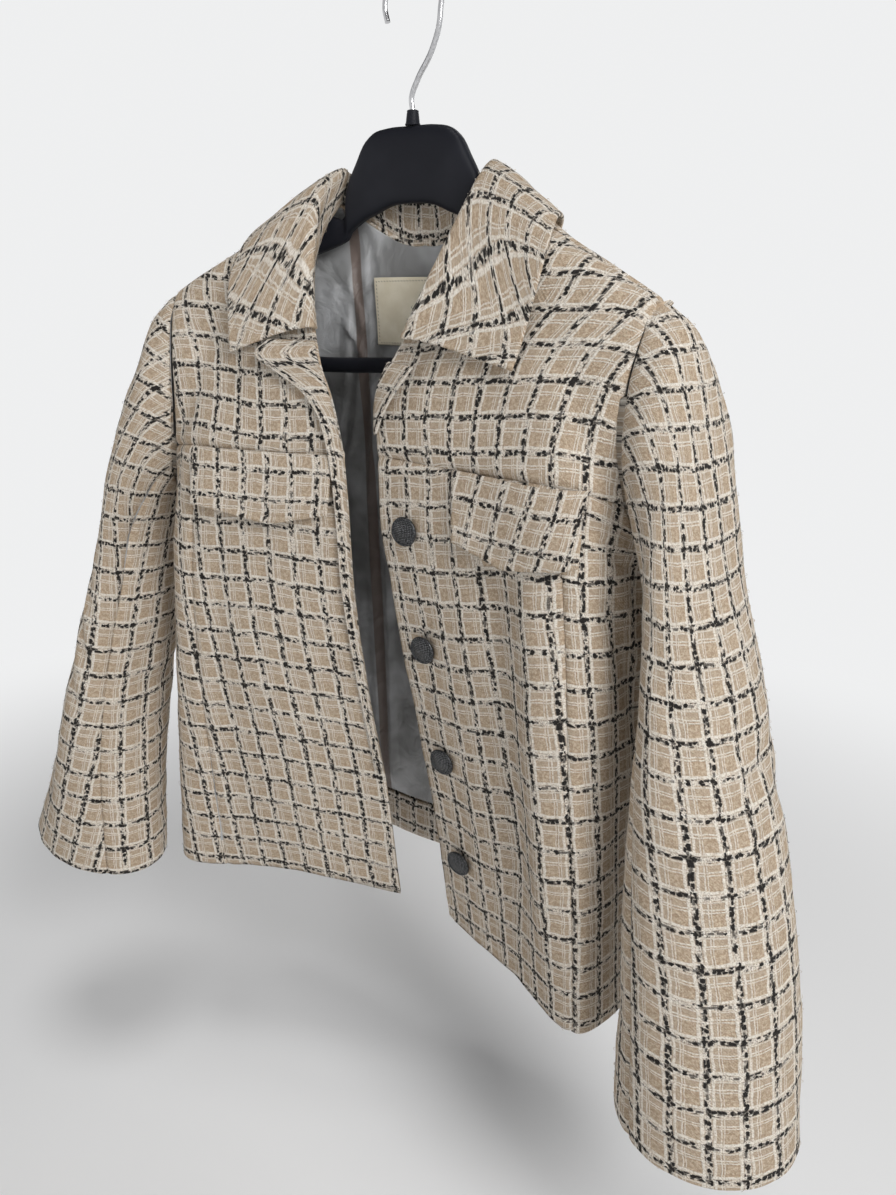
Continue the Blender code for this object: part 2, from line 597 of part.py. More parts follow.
def make_sleeve(side):
    """One sleeve: the upper and the under sleeve, which meet at the front and back seams."""
    turn = mirrored if side == "right" else np.array
    rings = sleeve_rings(SLEEVES[side])
    centres = np.array([np.mean(ring, axis=0) for ring in rings])[:, None]
    for part, angles in sleeve_angles().items():
        grid = inset(np.array([[ring_point(ring, a) for a in angles] for ring in rings]))
        grid[0, :, 0] += SLEEVE_GAP
        inner = grid + unit(centres - grid) * TWEED
        wall(f"{side}_sleeve_{part}", turn(grid), turn(inner), "tweed")


def lying_on(side, distances, heights, lifts):
    """Points that lie on a front, at distances from its edge and heights, moved out by lifts."""
    line = []
    for distance, height, lift in zip(distances, heights, lifts):
        point = front_point(side, *front_place(side, distance, height))
        line.append(point - inward(point) * lift)
    return line


def laid_wall(name, side, near):
    """A tweed wall that lies on a front, from the grid of its near face."""
    turn = mirrored if side == "right" else np.array
    near = np.array(near)
    wall(name, turn(near - inwards_of(near) * TWEED), turn(near), "tweed")


def make_flap(side):
    """A pointed pocket flap that hangs from the yoke seam, a little off the front."""
    start, end = FLAP_ENDS[side]
    shares = np.linspace(0.0, 1.0, FLAP_COLUMNS)
    drops = np.interp(shares, (0.0, FLAP_POINT_SHARE, 1.0), (FLAP_END, FLAP_POINT, FLAP_END))
    near = []
    for down in np.linspace(0.0, 1.0, FLAP_ROWS):
        lift = np.interp(down, (0.0, 1.0), FLAP_LIFT[side])
        distances = start + (end - FLAP_TAPER * down - start) * shares
        near.append(lying_on(side, distances, FLAP_TOP[side] - drops * down, [lift] * FLAP_COLUMNS))
    laid_wall(f"{side}_flap", side, near)


def make_revers(side):
    """The front edge's turned-back strip, which widens to the neck and lies on the front."""
    near = []
    for place in REVERS[side]:
        distances = np.array(REVERS_SHARES) * place.width
        heights = np.interp(REVERS_SHARES, (0.0, 1.0), (place.edge_height, place.outer_height))
        near.append(lying_on(side, distances, heights, REVERS_LIFTS))
    laid_wall(f"{side}_revers", side, near)


def front_neck(side):
    """A front's neckline from the collar's end to the shoulder, and the ways off the panel there."""
    rows = [r for r in HIGH_ROWS if r >= COLLAR_END_ROW]
    line = np.array([front_point(side, 0.0, r) for r in rows])
    ways = line - [front_point(side, 0.04, r) for r in rows]
    along = unit(np.gradient(line, axis=0))
    ways = unit(ways - along * np.sum(ways * along, axis=1, keepdims=True))
    ways[-1] = unit(ways[-1] + (0.0, 0.0, 1.0))
    return line, ways


def neck_seam():
    """The neckline and the ways off the panels, from the right front end round to the left."""
    left, left_ways = front_neck("left")
    right, right_ways = (mirrored(part) for part in front_neck("right"))
    shares = [s for s in back_columns() if abs(2.0 * s - 1.0) < NECK_SHARE - 0.01]
    back = np.array([back_point(s, TOP_ROW) for s in shares])
    up = np.tile((0.0, 0.0, 1.0), (len(back), 1))
    line = np.concatenate([right, back, left[::-1]])
    return line, np.concatenate([right_ways, up, left_ways[::-1]])


def collar_lines(places):
    """The roll line and the outer edge at places from -1, the right end, to 1, the left end."""
    left = COLLAR + COLLAR_ENDS["left"]
    right = (COLLAR[1:] + COLLAR_ENDS["right"])[::-1]
    rolls = [mirrored(np.array(c.roll)) for c in right] + [c.roll for c in left]
    edges = [mirrored(np.array(c.edge)) for c in right] + [c.edge for c in left]
    knots = [-c.place for c in right] + [c.place for c in left]
    return spline(knots, rolls, places), spline(knots, edges, places)


def make_collar():
    """The turned-down collar: one wall up the stand, over the roll and down the fall."""
    seam, ways = neck_seam()
    places = 2.0 * chord_knots(seam) - 1.0
    rolls, edges = collar_lines(places)
    necks = seam + ways * COLLAR_GAP
    crown = np.array((0.0, 0.0, COLLAR_CROWN))
    under = np.stack([
        necks,
        (necks + rolls) / 2,
        rolls,
        rolls + unit(edges - rolls) * COLLAR_ROLL + crown / 2,
        rolls + (edges - rolls) * 0.36 + crown,
        rolls + (edges - rolls) * 0.68 + crown / 2,
        edges,
    ], axis=1)
    ways_up = grid_normals(under)
    inside = np.interp(np.abs(places), COLLAR_END_PLACES, (1.0, 0.0))[:, None]
    ways_up[:, 0] = unit(ways_up[:, 0] * (1.0 - inside) + np.array([inward(p) for p in seam]) * inside)
    upper = under + ways_up * COLLAR_THICK
    wall("collar", upper, under, "tweed")


def grid_normals(grid):
    """Unit normals of a grid from its neighbours along both ways."""
    return unit(np.cross(np.gradient(grid, axis=0), np.gradient(grid, axis=1)))


def button_profile():
    """The outline that a button is turned from."""
    bm = bmesh.new()
    verts = [bm.verts.new((r, 0.0, h)) for r, h in BUTTON_PROFILE]
    for first, second in zip(verts, verts[1:]):
        bm.edges.new((first, second))
    profile = bpy.data.meshes.new("button_profile")
    bm.to_mesh(profile)
    bm.free()
    return profile


def left_front_facing(share, row):
    """The way out, square to the left front at a place."""
    across = front_point("left", share + 0.02, row) - front_point("left", share - 0.02, row)
    rise = front_point("left", share, row + 0.1) - front_point("left", share, row - 0.1)
    return unit(np.cross(across, rise))


def make_buttons():
    """Four turned shank buttons on the left front, square to the cloth."""
    profile = button_profile()
    for number, place in enumerate(BUTTONS, 1):
        share, row = front_place("left", BUTTON_INSET, place.height)
        facing = left_front_facing(share, row)
        button = add_object(f"button_{number}", profile, "button")
        button.location = front_point("left", share, row) + facing * place.seat
        button.rotation_mode = "QUATERNION"
        button.rotation_quaternion = Vector(facing).to_track_quat("Z", "Y")
        turn = button.modifiers.new("turn", "SCREW")
        turn.axis = "Z"
        turn.steps = BUTTON_SIDES
        turn.render_steps = BUTTON_SIDES
        turn.use_merge_vertices = True
        turn.merge_threshold = BUTTON_MERGE


def arm_loop(bm, arm, sign):
    """The corners of an oval section of the hanger."""
    middle, half = (arm.top + arm.bottom) / 2, (arm.top - arm.bottom) / 2
    loop = []
    for k in range(HANGER_SIDES):
        angle = 2.0 * math.pi * (k + 0.5) / HANGER_SIDES
        reach = math.copysign(abs(math.cos(angle)) ** HANGER_SQUARE, math.cos(angle))
        rise = math.copysign(abs(math.sin(angle)) ** HANGER_SQUARE, math.sin(angle))
        loop.append(bm.verts.new((sign * arm.x, arm.y + arm.half_depth * reach, middle + half * rise)))
    return loop


def make_hanger_body():
    """The moulded hanger: oval sections from one arm's tip over the neck to the other's."""
    bm = bmesh.new()
    loops = [arm_loop(bm, arm, -1.0) for arm in HANGER[:0:-1]] + [arm_loop(bm, arm, 1.0) for arm in HANGER]
    for first, second in zip(loops, loops[1:]):
        for k in range(HANGER_SIDES):
            after = (k + 1) % HANGER_SIDES
            bm.faces.new((first[k], first[after], second[after], second[k]))
    bm.faces.new(loops[0])
    bm.faces.new(loops[-1])
    mesh_object("hanger_body", bm, "hanger")


def make_ferrule():
    """The tapered ferrule that the hook turns in."""
    low, high = FERRULE_HEIGHTS
    wide, narrow = FERRULE_RADII
    bm = bmesh.new()
    bmesh.ops.create_cone(
        bm, cap_ends=True, segments=FERRULE_SIDES, radius1=wide, radius2=narrow, depth=high - low
    )
    bmesh.ops.translate(bm, verts=bm.verts[:], vec=(0.0, 0.0, (low + high) / 2))
    mesh_object("hanger_ferrule", bm, "hanger")


def make_bar():
    """The round bar between the hanger's arms."""
    other = [(-x, y, z) for x, y, z in BAR_ROUTE[-2::-1]]
    route = curve(np.array(list(BAR_ROUTE) + other), np.linspace(0.0, 1.0, BAR_POINTS))
    add_wire("hanger_bar", route, BAR_RADIUS, "hanger")


def make_hook():
    """The wire hook: a cranked stem and a bow round the seat."""
    bow = []
    for degrees in np.linspace(*HOOK_SWEEP, HOOK_BENDS):
        angle = math.radians(degrees)
        bow.append((HOOK_RADIUS * math.cos(angle), HOOK_CENTRE_Z + HOOK_RADIUS * math.sin(angle)))
    bends = np.array([(x, 0.0, z) for x, z in [*HOOK_STEM, *bow]])
    add_wire("hanger_hook", curve(bends, np.linspace(0.0, 1.0, HOOK_POINTS)), HOOK_WIRE, "steel")


def add_wire(name, route, radius, finish):
    """A round wire along a route, with filled caps."""
    wire = bpy.data.curves.new(name, "CURVE")
    wire.dimensions = "3D"
    wire.bevel_depth = radius
    wire.bevel_resolution = WIRE_RESOLUTION
    wire.use_fill_caps = True
    line = wire.splines.new("POLY")
    line.points.add(len(route) - 1)
    for point, place in zip(line.points, route):
        point.co = (*place, 1.0)
    return add_object(name, wire, finish)


def main():
    """Clears the scene and makes every piece."""
    for old in list(bpy.data.objects):
        bpy.data.objects.remove(old)
    collection = bpy.data.collections.new(GARMENT)
    bpy.context.scene.collection.children.link(collection)
    datum = bpy.data.objects.new("shoulder_datum", None)
    datum.location = (0.0, 0.0, -HOOK_DROP)
    collection.objects.link(datum)
    for side in ("left", "right"):
        make_front(side)
        make_flap(side)
        make_revers(side)
        make_sleeve(side)
    make_back()
    make_inside()
    make_label()
    make_collar()
    make_buttons()
    make_hanger_body()
    make_bar()
    make_ferrule()
    make_hook()


main()
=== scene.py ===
"""Dressed model of a cropped boucle tweed jacket on a moulded hanger.

Metres, +Z up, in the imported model's frame: the origin is the seat inside the hook, +X is the
wearer's left and the front faces -Y. Heights in the tables are measured from the shoulder datum,
HOOK_DROP below the seat. Each cloth piece is a fine shell on the form of its solid.
"""

import math
from collections import namedtuple

import bmesh
import bpy
import numpy as np
from mathutils import Matrix, Vector

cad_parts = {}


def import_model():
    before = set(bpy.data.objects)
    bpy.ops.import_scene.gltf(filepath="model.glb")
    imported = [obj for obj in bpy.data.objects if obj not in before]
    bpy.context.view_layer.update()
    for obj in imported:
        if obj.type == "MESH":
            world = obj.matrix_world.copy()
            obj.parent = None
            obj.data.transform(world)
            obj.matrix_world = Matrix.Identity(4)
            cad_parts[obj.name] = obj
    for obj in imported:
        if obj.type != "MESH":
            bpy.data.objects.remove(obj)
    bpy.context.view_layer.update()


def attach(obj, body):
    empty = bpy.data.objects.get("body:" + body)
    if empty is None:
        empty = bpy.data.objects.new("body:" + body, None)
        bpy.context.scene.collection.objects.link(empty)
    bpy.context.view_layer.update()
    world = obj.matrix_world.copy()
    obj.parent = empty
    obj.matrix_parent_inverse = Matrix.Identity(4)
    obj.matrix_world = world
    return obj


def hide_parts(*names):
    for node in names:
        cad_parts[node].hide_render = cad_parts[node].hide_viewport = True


# Camera, as found from the photo
CAMERA_PLACE = (0.3905, -0.6109, -0.2112)
CAMERA_TURN = 30.2
CAMERA_PITCH = 18.5
CAMERA_ROLL = 0.85
PHOTO_HEIGHT = 1195
FOCAL_PIXELS = 909.0
SENSOR = 36.0

# Cloth sizes
HOOK_DROP = 0.176
DATUM = np.array((0.0, 0.0, -HOOK_DROP))
TWEED = 0.0024
LINING = 0.0010
LABEL = 0.0008
STEP = 0.0030
EDGE_STEPS = (0.0, 0.0005, 0.0014)
EDGE_CURVE = (1.0, 0.32, 0.0)
EDGE_ROUND = 0.0009
SEAM_DIP = 0.0019
SEAM_REACH = 0.0030
SEAM_FADE = 0.012
SEAM_UNEVEN = 0.3
SEAM_PATCH = 0.02
STITCH_IN = 0.0065
STITCH_REACH = 0.0011
STITCH_DEPTH = 0.0007
WARP_REPEAT = 0.02185
WEFT_REPEAT = 0.02375
# Uneven hand of the cloth: amount, and the width and height of its patches, then its height by piece
HAND = ((1.0, 0.034, 0.040), (0.5, 0.013, 0.015))
HAND_HEIGHTS = {
    "front": 0.0007, "back": 0.0008, "sleeve": 0.0008, "collar": 0.0005, "flap": 0.0005, "revers": 0.0004,
    "label": 0.0003,
}
# The least share of its rectangle that a sheet's area is taken as
SHEET_LEAST = 0.31

# Body sections from hem to shoulder, as in the solids
Body = namedtuple("Body", "level z left_edge right_edge middle bulge centre neck blade lift back_lift")
LEVEL = (0.0, 0.0, 0.0)
BODY = (
    Body("hem", -0.549, (0.062, -0.034), (-0.008, -0.031), (0.137, -0.067), (0.207, -0.101),
         0.056, (0.090, 0.068), (0.180, 0.056), LEVEL, LEVEL),
    Body("hip", -0.430, (0.051, -0.047), (-0.003, -0.045), (0.128, -0.078), (0.199, -0.106),
         0.050, (0.088, 0.061), (0.174, 0.051), LEVEL, LEVEL),
    Body("waist", -0.340, (0.036, -0.055), (0.008, -0.054), (0.119, -0.085), (0.192, -0.106),
         0.045, (0.086, 0.055), (0.170, 0.047), LEVEL, LEVEL),
    Body("bust", -0.250, (0.020, -0.060), (0.017, -0.060), (0.110, -0.087), (0.187, -0.104),
         0.039, (0.084, 0.049), (0.167, 0.043), LEVEL, LEVEL),
    Body("underarm", -0.205, (0.011, -0.060), (0.0195, -0.060), (0.104, -0.085), (0.183, -0.101),
         0.036, (0.083, 0.045), (0.165, 0.040), LEVEL, LEVEL),
    Body("scye", -0.175, (0.008, -0.059), (0.0222, -0.059), (0.100, -0.083), (0.178, -0.098),
         0.034, (0.082, 0.042), (0.162, 0.036), LEVEL, LEVEL),
    Body("yoke seam", -0.150, (0.006, -0.058), (0.0255, -0.058), (0.097, -0.080), (0.173, -0.094),
         0.032, (0.081, 0.039), (0.160, 0.032), LEVEL, LEVEL),
    Body("chest", -0.112, (0.004, -0.056), (0.036, -0.0565), (0.096, -0.072), (0.166, -0.083),
         0.029, (0.080, 0.034), (0.155, 0.024), LEVEL, LEVEL),
    Body("neck corner", -0.075, (0.018, -0.053), (0.051, -0.0525), (0.100, -0.060), (0.162, -0.068),
         0.026, (0.078, 0.028), (0.150, 0.014), (-0.003, 0.009, 0.001), (0.000, 0.009, 0.000)),
    Body("neckline", -0.030, (0.050, -0.034), (0.068, -0.036), (0.107, -0.046), (0.160, -0.055),
         0.023, (0.075, 0.020), (0.147, 0.003), (0.008, 0.006, -0.010), (-0.010, 0.010, -0.008)),
    Body("shoulder fall", -0.008, (0.066, -0.009), (0.0725, -0.0105), (0.114, -0.030), (0.164, -0.043),
         0.0215, (0.074, 0.014), (0.141, -0.0090), (0.024, 0.012, -0.012), (-0.008, 0.029, 0.003)),
    Body("shoulder", 0.000, (0.071, 0.005), (0.071, 0.005), (0.116, -0.016), (0.165, -0.030),
         0.020, (0.071, 0.005), (0.140, -0.0230), (0.031, 0.011, -0.014), (0.004, 0.031, 0.000)),
)
RIGHT_MIDDLE_SHIFT = np.array((-0.004, 0.006, -0.006))
RIGHT_BULGE_SHIFT = np.array((-0.008, 0.015, -0.004))
RIGHT_SHIFT_ROWS = (8.0, 10.0)
SIDE = ((0.238, -0.028), (0.230, -0.028), (0.226, -0.028), (0.2235, -0.028))
UNDERARM_ROW = 4
YOKE_ROW = 6
CORNER_ROW = 8
TOP_ROW = 11
NECK_SHARE = 0.30
BLADE_SHARE = 0.66
NECK_SCOOP = 0.0045
SCOOP_ROWS = (9.0, 11.0)
UPRIGHT_SEAM = {"left": 0.65, "right": 0.60}
ARMHOLE_ANGLES = (180, 150, 112, 86, 58, 32, 14, 0)
CORE_X = 0.75
CORE_Y = -0.025
CORE_DROP = 0.03
CORE_HEIGHTS = (-0.15, -0.05)
RIDGE_X = (0.0, 0.04, 0.071, 0.116, 0.165, 0.207)
RIDGE_Y = (-0.02, -0.01, 0.005, -0.016, -0.030, -0.036)

# Sleeve rings from armhole to cuff: outer, inner, front and back points
Ring = namedtuple("Ring", "outer inner front back")
LEFT_SLEEVE = (
    Ring((0.207, -0.036, -0.037), (0.224, -0.028, -0.205), (0.200, -0.077, -0.130), (0.206, 0.004, -0.130)),
    Ring((0.224, -0.037, -0.050), (0.2285, -0.031, -0.2125), (0.212, -0.091, -0.142), (0.220, 0.018, -0.140)),
    Ring((0.239, -0.039, -0.080), (0.2305, -0.035, -0.226), (0.227, -0.102, -0.168), (0.238, 0.026, -0.165)),
    Ring((0.254, -0.043, -0.135), (0.2310, -0.042, -0.248), (0.236, -0.109, -0.205), (0.247, 0.024, -0.200)),
    Ring((0.270, -0.048, -0.200), (0.2300, -0.052, -0.285), (0.245, -0.116, -0.255), (0.256, 0.016, -0.248)),
    Ring((0.296, -0.057, -0.275), (0.2300, -0.064, -0.332), (0.256, -0.124, -0.312), (0.268, 0.003, -0.302)),
    Ring((0.323, -0.069, -0.362), (0.2320, -0.078, -0.398), (0.273, -0.136, -0.388), (0.282, -0.014, -0.376)),
    Ring((0.347, -0.083, -0.455), (0.2380, -0.091, -0.476), (0.288, -0.147, -0.470), (0.294, -0.033, -0.462)),
    Ring((0.367, -0.100, -0.570), (0.2440, -0.104, -0.570), (0.304, -0.158, -0.572), (0.306, -0.050, -0.568)),
)
RIGHT_SLEEVE = (
    Ring((0.207, -0.036, -0.037), (0.224, -0.028, -0.205), (0.194, -0.066, -0.130), (0.206, 0.004, -0.130)),
    Ring((0.222, -0.037, -0.049), (0.2285, -0.031, -0.2125), (0.207, -0.080, -0.142), (0.218, 0.014, -0.140)),
    Ring((0.235, -0.039, -0.080), (0.2305, -0.035, -0.226), (0.223, -0.093, -0.168), (0.233, 0.016, -0.165)),
    Ring((0.249, -0.043, -0.135), (0.2310, -0.042, -0.246), (0.236, -0.105, -0.202), (0.242, 0.010, -0.200)),
    Ring((0.264, -0.050, -0.200), (0.2300, -0.054, -0.280), (0.244, -0.114, -0.250), (0.250, 0.000, -0.245)),
    Ring((0.280, -0.062, -0.275), (0.2295, -0.067, -0.322), (0.254, -0.127, -0.306), (0.259, -0.012, -0.296)),
    Ring((0.299, -0.076, -0.356), (0.2310, -0.082, -0.380), (0.266, -0.141, -0.374), (0.270, -0.026, -0.366)),
    Ring((0.326, -0.092, -0.442), (0.2290, -0.096, -0.456), (0.279, -0.153, -0.454), (0.284, -0.042, -0.446)),
    Ring((0.361, -0.111, -0.531), (0.2205, -0.108, -0.555), (0.286, -0.163, -0.544), (0.299, -0.057, -0.543)),
)
SLEEVES = {"left": LEFT_SLEEVE, "right": RIGHT_SLEEVE}
SLEEVE_GAP = 0.0004
FRONT_SEAM_ROW = 5.5
BACK_SEAM_ROW = 7.0

# Soft folds that the solids have too: place as (share across, row) at both ends, half width, height
Fold = namedtuple("Fold", "start end half_width height")
FOLDS = {
    "left": (
        Fold((0.50, 1.0), (0.55, 4.0), 0.09, -0.004),
        Fold((0.68, 0.0), (0.64, 3.2), 0.08, 0.004),
        Fold((0.25, 0.0), (0.22, 2.0), 0.09, -0.003),
    ),
    "right": (
        Fold((0.45, 0.0), (0.45, 2.5), 0.35, 0.009),
        Fold((0.62, 0.0), (0.60, 3.0), 0.09, -0.004),
        Fold((0.35, 0.0), (0.38, 3.6), 0.10, 0.003),
    ),
    "back": (
        Fold((0.30, 0.0), (0.33, 5.0), 0.06, -0.005),
        Fold((0.70, 0.0), (0.66, 5.0), 0.06, -0.005),
        Fold((0.50, 0.0), (0.50, 4.0), 0.06, 0.004),
    ),
}
FOLD_FADE = 0.6
FOLD_END = 2.0
CREASE_CORE = 0.35
CREASE_END = 36.0

# Finer creases of each piece: ends as shares (across, up) of the piece, half width and height in metres
Crease = namedtuple("Crease", "start end half_width height")
CREASES = {
    "left_front_yoke": (
        Crease((0.93, 0.05), (0.80, 0.55), 0.010, -0.0022),
        Crease((0.75, 0.02), (0.90, 0.40), 0.012, 0.0014),
        Crease((0.10, 0.08), (0.16, 0.45), 0.010, -0.0012),
        Crease((0.35, 0.55), (0.60, 0.75), 0.012, -0.0012),
    ),
    "left_front_centre": (
        Crease((0.60, 0.16), (0.66, 0.90), 0.015, -0.0070),
        Crease((0.84, 0.12), (0.86, 0.86), 0.014, 0.0065),
        Crease((0.30, 0.10), (0.38, 0.46), 0.012, 0.0016),
        Crease((0.55, 0.20), (0.48, 0.62), 0.013, -0.0018),
        Crease((0.10, 0.52), (0.20, 0.70), 0.008, -0.0012),
    ),
    "left_front_side": (
        Crease((0.30, 0.20), (0.36, 0.75), 0.010, 0.0018),
        Crease((0.85, 0.52), (0.30, 0.82), 0.009, -0.0024),
        Crease((0.90, 0.66), (0.45, 0.95), 0.009, -0.0020),
        Crease((0.60, 0.02), (0.66, 0.40), 0.012, -0.0018),
    ),
    "right_front_yoke": (
        Crease((0.90, 0.05), (0.78, 0.60), 0.010, -0.0020),
        Crease((0.45, 0.10), (0.60, 0.42), 0.011, -0.0010),
        Crease((0.70, 0.30), (0.62, 0.80), 0.011, 0.0010),
    ),
    "right_front_centre": (
        Crease((0.88, 0.20), (0.82, 0.80), 0.010, -0.0022),
        Crease((0.40, 0.05), (0.52, 0.48), 0.012, 0.0014),
        Crease((0.16, 0.30), (0.22, 0.62), 0.010, -0.0014),
        Crease((0.62, 0.55), (0.50, 0.90), 0.010, -0.0012),
    ),
    "right_front_side": (
        Crease((0.40, 0.10), (0.30, 0.70), 0.010, -0.0020),
        Crease((0.90, 0.55), (0.40, 0.85), 0.009, -0.0022),
        Crease((0.70, 0.05), (0.66, 0.42), 0.012, 0.0014),
    ),
    "back": (
        Crease((0.12, 0.30), (0.22, 0.58), 0.014, -0.0026),
        Crease((0.88, 0.34), (0.79, 0.60), 0.014, -0.0024),
        Crease((0.40, 0.62), (0.44, 0.86), 0.012, -0.0014),
        Crease((0.58, 0.55), (0.55, 0.82), 0.013, -0.0016),
        Crease((0.24, 0.02), (0.27, 0.34), 0.013, 0.0020),
        Crease((0.62, 0.04), (0.60, 0.30), 0.013, -0.0016),
    ),
    "left_sleeve_upper": (
        Crease((0.10, 0.38), (0.55, 0.52), 0.012, -0.0028),
        Crease((0.20, 0.50), (0.62, 0.44), 0.010, -0.0018),
        Crease((0.70, 0.10), (0.64, 0.36), 0.012, -0.0016),
        Crease((0.40, 0.66), (0.48, 0.94), 0.014, -0.0018),
        Crease((0.75, 0.58), (0.88, 0.80), 0.011, -0.0022),
        Crease((0.30, 0.06), (0.34, 0.30), 0.013, 0.0014),
    ),
    "left_sleeve_under": (
        Crease((0.20, 0.45), (0.80, 0.52), 0.010, -0.0026),
        Crease((0.30, 0.60), (0.75, 0.55), 0.009, -0.0020),
        Crease((0.50, 0.10), (0.46, 0.36), 0.012, -0.0014),
    ),
    "right_sleeve_upper": (
        Crease((0.90, 0.46), (0.52, 0.60), 0.010, -0.0030),
        Crease((0.86, 0.56), (0.46, 0.66), 0.009, -0.0024),
        Crease((0.92, 0.36), (0.60, 0.44), 0.010, -0.0020),
        Crease((0.30, 0.12), (0.36, 0.42), 0.013, -0.0016),
        Crease((0.66, 0.08), (0.60, 0.34), 0.012, -0.0018),
        Crease((0.50, 0.70), (0.56, 0.94), 0.012, -0.0016),
    ),
    "right_sleeve_under": (
        Crease((0.20, 0.50), (0.82, 0.46), 0.010, -0.0024),
        Crease((0.22, 0.40), (0.70, 0.36), 0.009, -0.0018),
        Crease((0.48, 0.10), (0.52, 0.32), 0.012, -0.0014),
    ),
    "back_lining": (
        Crease((0.356, 0.00), (0.358, 0.98), 0.004, 0.0050),
        Crease((0.392, 0.00), (0.392, 0.98), 0.004, 0.0060),
        Crease((0.296, 0.84), (0.350, 0.785), 0.0030, 0.0060),
        Crease((0.310, 0.92), (0.340, 0.84), 0.0050, 0.0050),
        Crease((0.270, 0.88), (0.330, 0.93), 0.0050, 0.0040),
        Crease((0.240, 0.50), (0.320, 0.92), 0.005, 0.0036),
        Crease((0.300, 0.62), (0.335, 0.86), 0.004, 0.0040),
        Crease((0.420, 0.30), (0.470, 0.62), 0.006, 0.0036),
        Crease((0.430, 0.72), (0.560, 0.97), 0.005, 0.0034),
        Crease((0.560, 0.20), (0.620, 0.70), 0.010, 0.0026),
        Crease((0.680, 0.05), (0.640, 0.50), 0.012, 0.0030),
        Crease((0.300, 0.04), (0.340, 0.46), 0.012, 0.0028),
        Crease((0.180, 0.10), (0.240, 0.60), 0.012, 0.0024),
        Crease((0.820, 0.15), (0.780, 0.66), 0.012, 0.0024),
        Crease((0.520, 0.60), (0.660, 0.84), 0.008, 0.0020),
    ),
}

# Collar sections from the back's centre to the front end, as in the solids but for a higher centre roll
Collar = namedtuple("Collar", "name place roll edge")
COLLAR = (
    Collar("centre back", 0.0, (0.000, 0.0225, 0.0290), (0.000, 0.037, -0.046)),
    Collar("back neck", 0.25, (0.046, 0.0155, 0.0360), (0.088, 0.037, -0.020)),
    Collar("shoulder seam", 0.39, (0.0620, 0.0080, 0.0490), (0.115, 0.009, 0.0100)),
    Collar("shoulder", 0.5, (0.0655, 0.0010, 0.0505), (0.123, -0.014, 0.0130)),
)
COLLAR_ENDS = {
    "left": (
        Collar("side neck", 0.75, (0.0580, -0.0240, 0.0180), (0.131, -0.056, -0.029)),
        Collar("front neck", 0.87, (0.0440, -0.0505, -0.0320), (0.128, -0.0660, -0.0590)),
        Collar("front end", 1.0, (0.0315, -0.0620, -0.0660), (0.123, -0.0730, -0.0825)),
    ),
    "right": (
        Collar("side neck", 0.75, (0.0740, -0.0250, 0.0180), (0.131, -0.056, -0.029)),
        Collar("front neck", 0.87, (0.0625, -0.0445, -0.0270), (0.128, -0.0630, -0.0580)),
        Collar("front end", 1.0, (0.0540, -0.0555, -0.0610), (0.123, -0.0680, -0.0810)),
    ),
}
COLLAR_THICK = 0.0030
COLLAR_ROLL = 0.008
COLLAR_CROWN = 0.0025
COLLAR_GAP = 0.0009
COLLAR_END_ROW = 8.3
COLLAR_END_PLACES = (0.75, 0.90)
COLLAR_TURN = 27.0
COLLAR_TURN_PLACES = (0.0, 1.0)
COLLAR_MIDLINE = 0.075
COLLAR_SHARES = (0.36, 0.68)
# Lengths that the collar is divided by: along it for each metre of seam, and across it
COLLAR_EASE = 1.25
COLLAR_ACROSS = 0.11
# The share of the stand that faces as its panel does, and how the neckline's ways are found
COLLAR_START = 0.12
NECK_STEP = 0.04
NECK_RISE_ROW = 10.5

# Pocket flaps and turned-back edge strips, as in the solids
FLAP_ENDS = {"left": (0.0785, 0.190), "right": (0.0095, 0.132)}
FLAP_LIFT = {"left": (0.0010, 0.0060), "right": (0.0010, 0.0095)}
FLAP_TOP = {"left": -0.1505, "right": -0.1550}
FLAP_INNER_END = 0.051
FLAP_OUTER_END = 0.048
FLAP_POINT = 0.060
FLAP_POINT_SHARE = 0.42
FLAP_TAPER = 0.008
Revers = namedtuple("Revers", "edge_height outer_height width")
REVERS = {
    "left": (
        Revers(-0.136, -0.136, 0.005), Revers(-0.120, -0.121, 0.014),
        Revers(-0.102, -0.106, 0.024), Revers(-0.084, -0.090, 0.032),
    ),
    "right": (
        Revers(-0.420, -0.420, 0.006), Revers(-0.330, -0.330, 0.006), Revers(-0.250, -0.250, 0.0065),
        Revers(-0.190, -0.190, 0.0073), Revers(-0.150, -0.150, 0.0090), Revers(-0.122, -0.1235, 0.0120),
        Revers(-0.105, -0.1085, 0.0205), Revers(-0.092, -0.098, 0.034), Revers(-0.080, -0.0865, 0.0485),
        Revers(-0.0715, -0.0750, 0.035),
    ),
}
REVERS_SHARES = (0.0, 0.35, 0.7, 1.0)
REVERS_LIFTS = (0.0010, 0.0036, 0.0044, 0.0040)
# Further rise of a turned-back edge for each metre of its width, and of a flap's lower edge
REVERS_RISE = 0.15
FLAP_RISE = 0.0040

# Buttons on the left front: height and seat off the smooth front, inset and turned profile
Button = namedtuple("Button", "height seat")
BUTTONS = (Button(-0.200, 0.0), Button(-0.289, -0.0006), Button(-0.381, -0.0002), Button(-0.474, 0.0))
BUTTON_INSET = 0.031
BUTTON_PROFILE = (
    (0.0, 0.0070), (0.0020, 0.0070), (0.0045, 0.0066), (0.0068, 0.0060), (0.0084, 0.0054), (0.0090, 0.0052),
    (0.0093, 0.0054), (0.0098, 0.0058), (0.0104, 0.0056), (0.0109, 0.0048), (0.0110, 0.0042),
    (0.0107, 0.0036), (0.0100, 0.0033), (0.0036, 0.0030), (0.0030, 0.0026), (0.0028, -0.0004), (0.0, -0.0004),
)
BUTTON_SIDES = 48
# Buttons lean on their shanks towards the wearer's left and stand a little further off
BUTTON_LEAN = 0.21
BUTTON_OFF = 0.0008
